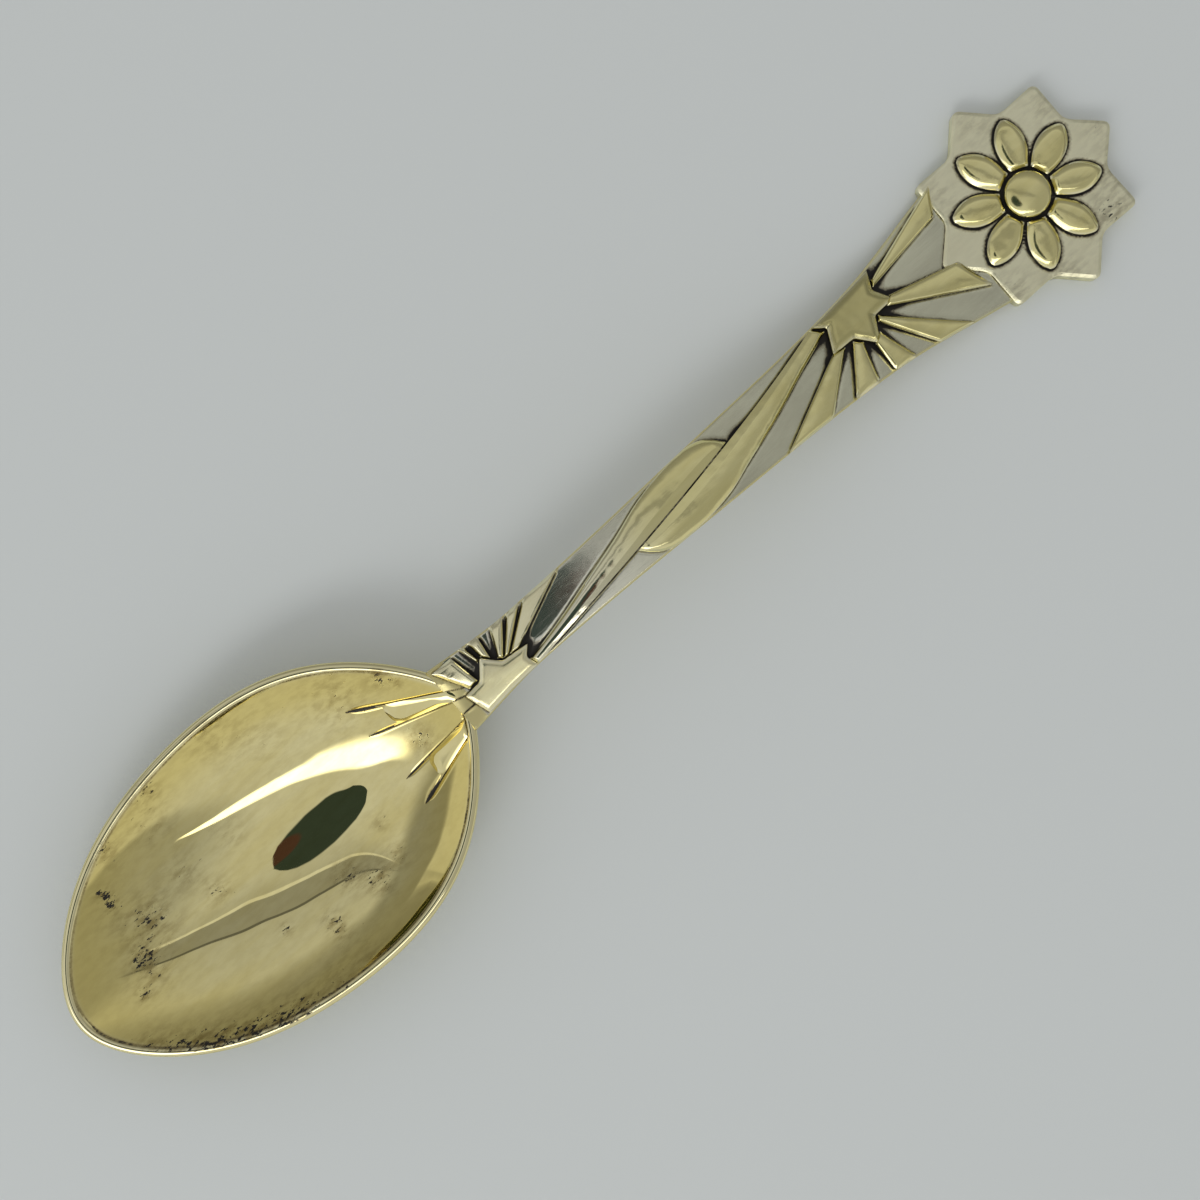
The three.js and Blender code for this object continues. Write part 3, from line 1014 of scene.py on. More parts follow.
@dataclass
class Leaf(Blade):
    """A blade with a crisp ridge near its right edge and a long soft slope to its left one."""

    seam_drop: float = 0.4
    seam_slope: float = 0.32
    ridge: float = 0.72
    slope_rows: float = 0.7
    swell: float = 3.6

    def across(self, t: float) -> float:
        """Share of the way across for a line of the grid, with the ridge on one of the lines.

        Args:
            t: Share of the grid's lines.

        Returns:
            The share of the way across.
        """
        share = round(self.slope_rows * self.rows) / self.rows
        if t < share:
            return self.ridge * self.crowd(t / share)
        return lerp(self.ridge, 1.0, (t - share) / (1 - share))

    def section(self, v: float, width: float) -> float:
        """Share of the full height at a share of the way across.

        Args:
            v: Share of the way across.
            width: Width here.

        Returns:
            The share, with a swelling slope on one side of the ridge and a facet on the other.
        """
        facet = 1 - self.ridge
        if v > self.ridge:
            drop = min(self.seam_drop, self.seam_slope * facet * width / self.height)
            return 1 - drop * (v - self.ridge) / facet
        return 1 - (1 - self.wall) * (1 - v / self.ridge) ** self.swell


def mark_relief(
    piece: bpy.types.Object,
    ground: Ground,
    wall: Ground,
    shelter: Optional[Ground] = None,
    silvery: float = 0.3,
) -> None:
    """Mark the oxide at the foot of a relief piece, and along its upper edge a paler band that is partly wear
    and partly a painted highlight.

    Args:
        piece: The finished mesh.
        ground: Height that it stands on.
        wall: Height of its upright sides.
        shelter: How far a place is out of reach of polishing, from 0 to 1.
        silvery: How far the gilding is worn off near the bowl.
    """
    oxide, wear_and_sheen, pale = [], [], []
    for vertex in piece.data.vertices:
        x, y, z = planned(vertex.co)
        rise, side = z - ground(x, y), max(wall(x, y), 0.02)
        kept = shelter(x, y) if shelter else 1.0
        oxide.append(kept * (1 - smoothstep(0.1 * side, 0.75 * side, rise)))
        # Paler band along the upper edge: rubbed gilding with a painted highlight.
        wear_and_sheen.append(0.5 * math.exp(-(((rise - 1.15 * side) / (0.25 * side)) ** 2)))
        pale.append(silvery * (1 - smoothstep(17.0, 34.0, x)))
    Bench.mark(piece, Mark.OXIDE_AND_SHADE, oxide)
    Bench.mark(piece, Mark.WEAR_AND_SHEEN, wear_and_sheen)
    Bench.mark(piece, Mark.PALE, pale)


@dataclass
class StarPlate:
    """A flat star with bevelled edges, laid on a curved ground."""

    name: str
    points: Sequence[Plan]
    ground: Ground
    height: float = 1.0
    bevel: float = 0.5
    drop: float = 0.4
    sink: float = 0.15
    grain: float = 0.6
    round: float = 0.1
    blunt: float = 0.22
    tilt: Plan = (0.0, 0.0)
    silvery: float = 0.3
    shelter: Optional[Ground] = None

    def outline(self, steps: int = 40) -> list[Plan]:
        """Points along the foot of the star.

        Args:
            steps: How many steps each side has.

        Returns:
            The points.
        """
        made = []
        for i, start in enumerate(self.points):
            end = self.points[(i + 1) % len(self.points)]
            made += [between(start, end, k / steps) for k in range(steps)]
        return made

    def build(self) -> bpy.types.Object:
        """Model the star.

        Returns:
            The piece, in place.
        """
        bpy.ops.object.select_all(action="DESELECT")
        bpy.ops.mesh.primitive_circle_add(vertices=len(self.points), radius=MM, fill_type="NGON")
        piece = Bench.start(self.name)
        for vertex, (x, y) in zip(piece.data.vertices, self.points):
            vertex.co = placed(x, y, -self.sink)
        with Bench.editing(piece):
            bpy.ops.mesh.bevel(offset=self.blunt * MM, segments=3, affect="VERTICES")
        self.raise_top(piece)
        Bench.close(piece)
        for vertex in piece.data.vertices:
            x, y, z = planned(vertex.co)
            vertex.co = placed(x, y, z + self.ground(x, y))
        Bench.close(piece)
        Bench.shade(piece, 35.0)
        Bench.modify(piece, "WEIGHTED_NORMAL", keep_sharp=True)
        mark_relief(piece, self.ground, self.wall, self.shelter, self.silvery)
        return piece

    def wall(self, x: float, y: float) -> float:
        """Height of the upright side, on a plate that may tilt across the stem."""
        slope, level = self.tilt
        return self.height - self.drop + slope * (y - level)

    def raise_top(self, piece: bpy.types.Object) -> None:
        """Pull the flat outline up into a plate whose top swells away from its edge.

        Args:
            piece: The flat outline.
        """
        rim = [planned(piece.data.vertices[i].co)[:2] for i in piece.data.polygons[0].vertices]
        up = self.sink + self.height - self.drop
        with Bench.editing(piece):
            bpy.ops.mesh.extrude_region_move(TRANSFORM_OT_translate={"value": (0.0, 0.0, up * MM)})
            for _ in range(3):
                bpy.ops.mesh.inset(thickness=self.round / 3 * MM, depth=0.0, use_even_offset=True)
        self.slices(piece)
        Bench.close(piece, 1e-5)
        for vertex in piece.data.vertices:
            x, y, z = planned(vertex.co)
            if z > 0:
                inward = self.nearest(rim, x, y)[0]
                swell = self.drop * self.swell(self.mitred(self.points, x, y) / self.bevel)
                edge = max(1 - inward / self.round, 0.0)
                over = self.round * (1 - math.sqrt(max(1 - edge**2, 0.0)))
                vertex.co.z = (self.wall(x, y) + swell - over) * MM

    @staticmethod
    def swell(t: float) -> float:
        """A straight slope up from 0 that rounds over into a level top."""
        return t - max(t - 0.7, 0.0) ** 2 / 1.2 if t < 1.3 else 1.0

    @staticmethod
    def nearest(rim: Sequence[Plan], x: float, y: float) -> tuple[float, int, float]:
        """The place on an outline that is nearest to a plan point.

        Args:
            rim: Corners of the outline.
            x: Along the spoon.
            y: Across it.

        Returns:
            Its distance, the number of its side, and the share of the way along that side.
        """
        found = (math.inf, 0, 0.0)
        for i, (ax, ay) in enumerate(rim):
            bx, by = rim[(i + 1) % len(rim)]
            dx, dy = bx - ax, by - ay
            t = clamp(((x - ax) * dx + (y - ay) * dy) / (dx * dx + dy * dy), 0.0, 1.0)
            apart = math.hypot(x - ax - t * dx, y - ay - t * dy)
            if apart < found[0]:
                found = (apart, i, t)
        return found

    @classmethod
    def mitred(cls, rim: Sequence[Plan], x: float, y: float) -> float:
        """Distance from a plan point to the outline, with a crisp valley at each notch.

        Args:
            rim: Corners of the outline.
            x: Along the spoon.
            y: Across it.

        Returns:
            The distance, counted to the longer of the two sides where a notch is nearest.
        """
        count = len(rim)

        def beside(i: int) -> float:
            """Distance to the line through one side."""
            (ax, ay), (bx, by) = rim[i % count], rim[(i + 1) % count]
            return abs((x - ax) * (by - ay) - (y - ay) * (bx - ax)) / math.hypot(bx - ax, by - ay)

        apart, side, t = cls.nearest(rim, x, y)
        if 0.0 < t < 1.0:
            return apart
        corner = side if t == 0.0 else side + 1
        return max(beside(corner - 1), beside(corner))

    def slices(self, piece: bpy.types.Object) -> None:
        """Cut the star into narrow strips so that it can follow the ground.

        Args:
            piece: The plate.
        """
        xs, ys = [p[0] for p in self.points], [p[1] for p in self.points]
        cuts = []
        for k, values in enumerate((xs, ys)):
            normal = (1.0, 0.0, 0.0) if k == 0 else (0.0, 1.0, 0.0)
            count = int((max(values) - min(values)) / self.grain)
            for i in range(1, count + 1):
                at = min(values) + i * self.grain
                cuts.append((placed(at, at, 0.0), normal))
        with Bench.editing(piece):
            for origin, normal in cuts:
                bpy.ops.mesh.select_all(action="SELECT")
                bpy.ops.mesh.bisect(plane_co=origin, plane_no=normal, use_fill=False)


@dataclass
class FacetPlate(StarPlate):
    """A star with straight bevelled edges round a level top."""

    def raise_top(self, piece: bpy.types.Object) -> None:
        """Pull the flat outline up into a bevelled plate.

        Args:
            piece: The flat outline.
        """
        up = (self.sink + self.height - self.drop) * MM
        with Bench.editing(piece):
            bpy.ops.mesh.extrude_region_move(TRANSFORM_OT_translate={"value": (0.0, 0.0, up)})
            bpy.ops.mesh.inset(thickness=self.bevel * MM, depth=0.0, use_even_offset=True)
            bpy.ops.transform.translate(value=(0.0, 0.0, self.drop * MM))
        Bench.close(piece)
        self.slices(piece)
        sharp = math.radians(20)
        Bench.modify(
            piece, "BEVEL", width=self.round * MM, segments=4, limit_method="ANGLE", angle_limit=sharp
        )


# Sub-assemblies


@dataclass
class Relief:
    """Everything that stands on the stem and in the bowl's neck."""

    stem: StemForm
    palette: Palette
    edge_margin: float = 0.06
    gap: float = 0.22
    ray_height: float = 0.85
    ray_slant: float = 0.26
    ray_crown: float = 0.2
    slanted_crown: float = 0.04
    ray_step: float = 0.02
    bowl_clear: float = 0.4
    finial_clear: float = 11.3
    leaf_height: float = 0.95
    leaf_seam: float = 0.2
    lower_hub: Plan = (6.2, -2.1)
    upper_hub: Plan = (64.3, 3.2)
    lower_star: Sequence[Plan] = (
        (1.6, -0.65), (3.9, -0.5), (5.7, 1.55), (7.5, -0.4), (11.0, -0.8), (9.9, -1.9), (10.3, -3.36),
        (6.2, -3.52), (2.5, -3.9),
    )
    upper_star: Sequence[Plan] = (
        (59.2, 0.8), (62.45, 0.7), (64.6, -1.8), (66.3, 1.1), (69.45, 1.2), (68.1, 3.6), (69.2, 5.75),
        (64.3, 5.3), (59.3, 4.85), (60.8, 3.7),
    )
    neck_ray: Sequence[tuple[Plan, Plan]] = (((2.55, -0.35), (0.35, 3.75)), ((3.85, -0.2), (3.2, 3.72)))
    lower_rays: Sequence[Plan] = ((121, 138), (101, 107), (81, 95), (50, 65), (37.5, 47), (23, 35.5))
    upper_rays: Sequence[Plan] = ((8, 17), (-29, -15), (-58, -44), (-93, -73), (-129, -109), (-156, -142))
    bowl_rays: Sequence[Plan] = ((162, 151), (196, 184))
    bowl_ray_start: float = 1.3
    bowl_ray_end: float = -10.5
    bowl_ray_height: float = 0.5
    leaf_edge: Sequence[Plan] = (
        (0.0, -0.62), (0.083, -0.37), (0.2, 0.06), (0.32, 0.47), (0.4, 0.78), (0.47, 0.94), (0.53, 1.0),
        (0.585, 0.985), (0.62, 0.86), (0.645, 0.62),
    )
    leaf_tip: Plan = (0.662, 0.37)
    leaf_roots: Sequence[Plan] = ((-0.022, -0.016), (-0.03, -0.006))
    pocket: Plan = (44.0, 2.4)
    pocket_size: float = 1.8
    seam: Plan = (11.1, 58.9)
    stem_outline: list[Plan] = field(default_factory=list)
    bowl_outline: list[Plan] = field(default_factory=list)
    neck_outline: list[Plan] = field(default_factory=list)
    star_outline: list[Plan] = field(default_factory=list)

    def limit(self, x: float) -> float:
        """Half-width that the relief keeps inside."""
        return self.stem.half_width(x) - self.edge_margin

    def build(self) -> None:
        """Model and dress all the relief."""
        self.stars()
        lower = (self.lower_hub, self.lower_star, self.lower_rays)
        upper = (self.upper_hub, self.upper_star, self.upper_rays)
        self.rays("lower_ray", *lower, PALE, Slot.PALE_GILT, self.ray_slant)
        self.rays("upper_ray", *upper, GILT, Slot.GILT, 0.0)
        self.leaves()
        self.neck_rays()

    def shelter(self, x: float, y: float) -> float:
        """How far a place on the stem is out of reach of polishing, less so at the stem's edge."""
        return smoothstep(0.12, 0.5, self.stem.inward(x, y))

    def near_star(self, x: float, y: float, spread: float) -> float:
        """How near a place is to one of the two small stars, from 0 to 1."""
        hubs = (self.lower_hub, self.upper_hub)
        return max(math.exp(-((math.dist(hub, (x, y)) / spread) ** 2)) for hub in hubs)

    def grime(self, x: float, y: float) -> float:
        """How much oxide is left in the seams, most of it round the stars."""
        near = max(self.near_star(x, y, 9.0), self.near_pocket(x, y))
        return self.shelter(x, y) * lerp(0.62, 1.0, near) * lerp(0.7, 1.0, smoothstep(1.6, 3.6, x))

    def near_pocket(self, x: float, y: float) -> float:
        """How near a place is to the dark pocket past the lower leaf's tip, from 0 to 1."""
        return math.exp(-((math.dist(self.pocket, (x, y)) / self.pocket_size) ** 2))

    def stars(self) -> None:
        """The two small stars."""
        ground, shelter = self.stem.ground, self.grime
        lower = StarPlate(
            "lower_star_plate", self.lower_star, ground, bevel=0.45, drop=0.28, grain=0.16, tilt=(0.1, 0.8),
            silvery=0.0, shelter=shelter,
        )
        upper = StarPlate(
            "upper_star_plate", self.upper_star, ground, bevel=0.75, drop=0.5, grain=0.16, shelter=shelter
        )
        for star, node, finish, slot in (
            (lower, "lower_star", PALE, Slot.PALE_GILT),
            (upper, "upper_star", DEEP_GILT, Slot.GILT),
        ):
            self.palette.dress(star.build(), finish, slot, node)
            self.stem_outline += star.outline()
            self.star_outline += star.outline()

    @staticmethod
    def boundary(hub: Plan, outline: Sequence[Plan], turn: float) -> float:
        """Distance from a hub to a star's outline along a direction.

        Args:
            hub: A point inside the star.
            outline: Corners of the star.
            turn: The direction.

        Returns:
            The distance.
        """
        cos, sin = math.cos(turn), math.sin(turn)
        reach = 0.0
        for i, a in enumerate(outline):
            b = outline[(i + 1) % len(outline)]
            (ax, ay), (bx, by) = [(p[0] - hub[0], p[1] - hub[1]) for p in (a, b)]
            aside, bside = ay * cos - ax * sin, by * cos - bx * sin
            if aside * bside > 0 or aside == bside:
                continue
            share = aside / (aside - bside)
            reach = max(reach, lerp(ax, bx, share) * cos + lerp(ay, by, share) * sin)
        return reach

    def rays(
        self,
        name: str,
        hub: Plan,
        star: Sequence[Plan],
        spread: Sequence[Plan],
        finish: MetalFinish,
        slot: Slot,
        slant: float,
    ) -> None:
        """The rays of one star, from its edge to the edge of the stem.

        Args:
            name: Name of the CAD nodes without their number.
            hub: Point that the rays spread from.
            star: Outline of the star.
            spread: Start and end angle of each ray in degrees from the length of the spoon.
            finish: What they are made of.
            slot: The record's material slot.
            slant: How far their tops slope towards the bowl.
        """
        for number, (low, high) in enumerate(spread, 1):
            sides = [self.ray_side(hub, star, math.radians(angle)) for angle in (high, low)]
            if name == "lower_ray" and number == 1:
                sides = [self.line(a, b) for a, b in self.neck_ray]
            blade = Blade(
                f"{name}_{number}_bar", *sides, self.stem.ground, self.ray_height,
                crown=self.slanted_crown if slant else self.ray_crown, slant=slant, shelter=self.grime,
            )
            self.palette.dress(blade.build(), finish, slot, f"{name}_{number}")
            self.stem_outline += blade.outline()

    @staticmethod
    def line(start: Plan, end: Plan) -> Edge:
        """A straight edge between two plan points."""
        return lambda t: between(start, end, t)

    def ray_side(self, hub: Plan, star: Sequence[Plan], turn: float) -> Edge:
        """One side of a ray as a straight line from its star to the edge.

        Args:
            hub: Point that the rays spread from.
            star: Outline of the star.
            turn: Direction of the side.

        Returns:
            The side.
        """
        cos, sin = math.cos(turn), math.sin(turn)
        start = self.boundary(hub, star, turn) + self.gap
        reach = start
        while True:
            x, y = hub[0] + reach * cos, hub[1] + reach * sin
            from_finial = math.hypot(x - self.stem.length, y)
            if x < self.bowl_clear or abs(y) > self.limit(x) or from_finial < self.finial_clear:
                break
            reach += self.ray_step
        return lambda t: (hub[0] + lerp(start, reach, t) * cos, hub[1] + lerp(start, reach, t) * sin)

    def leaves(self) -> None:
        """Two long leaves, each the other turned round, with a straight seam between them."""
        for node, turned in (("lower_leaf", False), ("upper_leaf", True)):
            outer, inner = self.leaf_sides(turned)
            blade = Leaf(
                node + "_bar", outer, inner, self.stem.ground, self.leaf_height,
                end_chamfer=1.4, start_chamfer=0.5, wall=0.25, columns=120, rows=30, silvery=0.9,
                shelter=self.grime,
            )
            self.palette.dress(blade.build(), GILT, Slot.GILT, node)
            self.stem_outline += blade.outline(320)

    def leaf_sides(self, turned: bool) -> tuple[Edge, Edge]:
        """Outer edge and seam edge of a leaf.

        Args:
            turned: Whether it is the leaf that points towards the bowl.

        Returns:
            The two edges, from root to tip.
        """
        curve = smooth_through(self.leaf_edge)
        corner, tip = self.leaf_edge[-1], self.leaf_tip
        root, seam_root = self.leaf_roots[turned]

        def edge(t: float) -> Plan:
            """Share of the way along the seam, and of the half-width, on the outer edge.

            Args:
                t: Share of the way from root to tip.

            Returns:
                The two shares.
            """
            share = lerp(root, tip[0], t)
            if share < corner[0]:
                return share, curve(share)
            return share, lerp(corner[1], tip[1], (share - corner[0]) / (tip[0] - corner[0]))

        def place(share: float, across: float) -> Plan:
            """Plan point at these shares."""
            x = lerp(*(reversed(self.seam) if turned else self.seam), share)
            limit = self.limit(x)
            return x, clamp((-across if turned else across) * limit, -limit, limit)

        def outer(t: float) -> Plan:
            """The outer edge."""
            return place(*edge(t))

        def inner(t: float) -> Plan:
            """The edge along the seam.

            Args:
                t: Share of the way from root to tip.

            Returns:
                The plan point.
            """
            share = lerp(seam_root, tip[0], t)
            x, y = place(share, lerp(-1.0, 1.0, share))
            limit = self.limit(x)
            shift = -self.leaf_seam / 2 if turned else self.leaf_seam / 2
            return x, clamp(y + shift, -limit, limit)

        return outer, inner

    def stem_reach(self, x: float, y: float) -> float:
        """How far the dark seams spread over the stem, widest round the stars.

        Args:
            x: Along the stem.
            y: Across it.

        Returns:
            The spread, less between the lower star and the leaves.
        """
        apart = min(math.dist(point, (x, y)) for point in self.star_outline[::8])
        star = 0.22 * self.near_star(x, y, 7.0) + 0.7 * math.exp(-((apart / 1.4) ** 2))
        past = smoothstep(11.0, 12.5, x) * smoothstep(24.0, 16.0, x)
        star *= smoothstep(2.0, 4.4, x) * (1 - 0.5 * past)
        return 0.15 + star + 0.4 * self.near_pocket(x, y)

    def bowl_reach(self, x: float, y: float) -> float:
        """How wide the dark grooves in the bowl's neck are.

        Args:
            x: Along the spoon.
            y: Across it.

        Returns:
            The width, greatest a little before the pointed ends.
        """
        widest = lerp(0.14, 0.24, smoothstep(4.0, 6.0, abs(y)))
        full = self.bowl_ray_end + 1.2
        wide = lerp(0.12, widest, smoothstep(-3.0, full, x))
        return max(wide * (1 - smoothstep(full, self.bowl_ray_end - 0.5, x)), 0.02)

    def neck_rays(self) -> None:
        """Two rays that run from the lower star down into the bowl and die away."""
        bowl = self.stem.bowl

        def ground(x: float, y: float) -> float:
            """Height of the stem or the bowl under the ray."""
            return self.stem.ground(x, y) if x > 0 else bowl.inside(x, y)

        def side(degrees: float) -> Edge:
            """One side of a ray, in a direction from the lower star.

            Args:
                degrees: Angle from the length of the spoon.

            Returns:
                The side, from the star into the bowl.
            """

            def at(t: float) -> Plan:
                """A point of the side.

                Args:
                    t: Share of the way along.

                Returns:
                    The plan point.
                """
                x = lerp(self.bowl_ray_start, self.bowl_ray_end, t)
                inside = bowl.half_width(min(x, 0.0), bowl.rim_width) - 0.15
                y = self.lower_hub[1] + math.tan(math.radians(degrees)) * (x - self.lower_hub[0])
                return x, clamp(y, -inside, inside)

            return at

        for number, (left, right) in enumerate(self.bowl_rays, 1):
            blade = Blade(
                f"bowl_ray_{number}_bar", side(left), side(right), ground, self.bowl_ray_height,
                side_chamfer=0.8, end_chamfer=5.0, start_chamfer=0.2, wall=0.25, crown=0.3, fade=1.0,
                emerge=3.0, silvery=0.0, columns=60, sink=0.4,
            )
            self.palette.dress(blade.build(), BOWL_GILT, Slot.GILT, f"bowl_ray_{number}")
            self.bowl_outline += blade.outline(200, ())
            for edge in (blade.left, blade.right):
                self.neck_outline += [edge(0.004 * k - 0.07) for k in range(60)]


@dataclass
class Patina:
    """Distance from a ground to the relief that stands on it, as a recess."""

    points: Sequence[Plan]
    reach: Ground
    tree: kdtree.KDTree = field(init=False)

    def __post_init__(self) -> None:
        """Sort the outline's points for quick searching."""
        self.tree = kdtree.KDTree(len(self.points))
        for i, (x, y) in enumerate(self.points):
            self.tree.insert((x, y, 0.0), i)
        self.tree.balance()

    def at(self, x: float, y: float) -> float:
        """Depth of the recess at a plan point, from 0 to 1."""
        distance = self.tree.find((x, y, 0.0))[2]
        return math.exp(-((distance / self.reach(x, y)) ** 1.6))


@dataclass
class Bowl:
    """The bowl, a sphere pressed into an egg-shaped shell."""

    form: BowlForm
    palette: Palette
    segments: int = 400
    inner_rows: int = 100
    outer_rows: int = 30
    groove: float = 0.2
    rim_profile: Sequence[Plan] = (
        (1.1, 0.21), (1.04, 0.15), (0.98, 0.1), (0.9, 0.05), (0.8, 0.012), (0.7, 0.0), (0.6, 0.01),
        (0.5, 0.035), (0.38, 0.085), (0.26, 0.15), (0.16, 0.22), (0.08, 0.31), (0.03, 0.41), (0.0, 0.55),
    )
    neck_zone: float = -12.0
    groove_ends: Plan = (-11.0, -8.0)
    groove_shade_ends: Plan = (-11.3, -10.7)
    rim_shade_line: Plan = (0.984, 0.992)
    crowding: float = 0.5
    ring_bend: float = 0.8
    rim_shares: Plan = (0.9925, 0.996)
    tarnished: float = 0.13
    # Strength and reach of the paler rim top: rubbed gilding with a painted highlight.
    worn: Plan = (0.55, 0.2)
    # How far the steep walls inside the rim are painted darker olive, as shade.
    rim_band_shade: float = 0.85
    stains: Sequence[Stain] = (
        (-45.2, 9.8, 0.9, 1.0), (-45.6, 8.4, 0.9, 0.9), (-44.7, 3.9, 3.4, 0.55),
        (-42.6, 4.6, 2.4, 0.25), (-47.3, 1.5, 1.2, 1.0), (-47.8, -0.8, 2.4, 0.5),
        (-50.0, -1.8, 0.8, 0.85), (-52.6, -6.6, 1.6, 0.5), (-50.6, -9.0, 2.0, 0.75),
        (-48.3, -11.0, 2.0, 0.9), (-46.0, -12.5, 2.2, 0.95), (-43.5, -13.7, 2.0, 0.95),
        (-41.0, -14.6, 2.2, 0.9), (-38.2, -15.3, 2.0, 0.85), (-35.5, -15.9, 2.2, 0.7),
        (-31.0, -16.3, 2.4, 0.5), (-26.5, -16.4, 2.4, 0.35), (-41.6, 13.6, 1.8, 0.65),
        (-36.0, 12.8, 2.6, 0.4), (-33.4, 15.7, 1.8, 0.6), (-24.0, 15.9, 3.0, 0.35),
        (-36.0, 1.5, 1.5, 0.6), (-37.3, 5.7, 2.0, 0.5), (-30.3, 5.7, 2.0, 0.3),
        (-32.9, -7.2, 0.8, 0.8), (-28.0, -9.8, 1.2, 0.72), (-27.7, -11.6, 1.2, 0.6),
        (-23.4, -7.2, 1.8, 0.7), (-20.6, -10.0, 1.8, 0.8), (-17.0, -9.2, 1.4, 0.6),
        (-10.0, 9.0, 3.6, 0.42), (-4.6, 7.7, 1.2, 0.8), (-3.3, 6.0, 1.0, 0.7),
        (-5.9, -0.8, 1.7, 0.75), (-5.7, -4.9, 0.8, 0.7), (-16.4, -5.1, 1.2, 0.45),
        (-20.0, 12.0, 4.0, 0.22),
    )

    def rows(self) -> list[tuple[float, float, float, float]]:
        """Rings of the shell from the inside's middle to the outside's middle.

        Returns:
            Share of the outline, inset, depth of the arc, and drop below the rim for each ring.
        """
        form, count = self.form, self.inner_rows
        shares = [(i / count) ** self.ring_bend for i in range(1, count)] + list(self.rim_shares)
        inner = [(share, form.rim_width, form.depth - form.lip, form.lip) for share in shares]
        rim = [(1.0, inset, 0.0, drop) for inset, drop in self.rim_profile]
        outside, last = form.depth + form.wall, self.outer_rows
        outer = [((i / last) ** self.ring_bend, 0.0, outside, 0.0) for i in range(last - 1, 0, -1)]
        return inner + rim + outer

    def build(self, patina: Patina) -> None:
        """Model and dress the bowl.

        Args:
            patina: Recesses along the rays in its neck.
        """
        rows = self.rows()
        rings = len(rows) + 1
        bpy.ops.object.select_all(action="DESELECT")
        bpy.ops.mesh.primitive_uv_sphere_add(segments=self.segments, ring_count=rings, radius=1.0)
        shell = Bench.start("bowl_shell")
        form = self.form
        for vertex in shell.data.vertices:
            ring = round(math.acos(clamp(vertex.co.z, -1.0, 1.0)) / math.pi * rings)
            turn = math.atan2(vertex.co.y, vertex.co.x)
            turn -= self.crowding * math.sin(turn)
            if ring in (0, rings):
                depth = form.depth if ring == 0 else form.depth + form.wall
                x, y = form.outline(0.0, 0.0, 0.0)
                z = form.rim(x) - depth
            else:
                share, inset, depth, drop = rows[ring - 1]
                x, y = form.outline(turn, inset, share)
                z = form.rim(x) - depth * form.sag(share) - drop
            if ring < self.inner_rows and x > self.neck_zone:
                z -= self.groove * patina.at(x, y) * smoothstep(*self.groove_ends, x)
            vertex.co = placed(x, y, max(z, 0.0))
        with Bench.editing(shell):
            bpy.ops.mesh.bisect(
                plane_co=placed(0.0, 0.0, 0.0), plane_no=(1.0, 0.0, 0.0),
                use_fill=True, clear_outer=True, threshold=1e-7,
            )
        Bench.close(shell, 1e-7)
        Bench.shade(shell, 50.0)
        self.mark(shell, patina)
        self.palette.dress(shell, BOWL_GILT, Slot.GILT, "bowl")

    def mark(self, shell: bpy.types.Object, patina: Patina) -> None:
        """Mark painted shade in the neck's grooves, just inside the rim and on the steep inner walls, a paler
        rim top that is partly wear and partly painted highlight, and patches of tarnish inside.

        Args:
            shell: The finished mesh.
            patina: Recesses along the rays in its neck.
        """
        oxide, tarnish, wear_and_sheen, gilded_and_shade = [], [], [], []
        form = self.form
        for vertex in shell.data.vertices:
            x, y, z = planned(vertex.co)
            level = form.rim(x) - z
            inner = 1.0 if z > form.outside(x, y) + 0.5 else 0.0
            # Painted shade: black in the neck's grooves, heavier towards their far ends.
            near = patina.at(x, y) * smoothstep(*self.groove_shade_ends, x) if x > self.neck_zone else 0.0
            share = form.share_at(x, y, form.rim_width)
            # Painted shade: a dark line just inside the rim, fading out towards the neck and heavier on the
            # -y side.
            line = smoothstep(*self.rim_shade_line, share) if inner and level > 0.18 else 0.0
            line *= 1 - smoothstep(-4.5, -1.5, x)
            near *= lerp(0.8, 1.15, smoothstep(-6.0, -10.5, x))
            oxide.append(max(near, line * lerp(0.5, 0.36, smoothstep(-9.0, 9.0, y))) * inner)
            tarnish.append(min(stained(self.stains, x, y) + self.tarnished, 1.0) * inner)
            # Paler rim top: rubbed gilding with a painted highlight along the rim.
            wear_and_sheen.append(self.worn[0] * math.exp(-((level / self.worn[1]) ** 2)))
            # Painted shade: the steep walls inside the rim turn darker olive.
            rim_band = smoothstep(0.6, 0.95, share) * inner * smoothstep(0.2, 0.6, level)
            gilded_and_shade.append(self.rim_band_shade * rim_band)
        Bench.mark(shell, Mark.GILDED_AND_SHADE, gilded_and_shade)
        Bench.mark(shell, Mark.OXIDE_AND_SHADE, oxide)
        Bench.mark(shell, Mark.TARNISH, tarnish)
        Bench.mark(shell, Mark.WEAR_AND_SHEEN, wear_and_sheen)


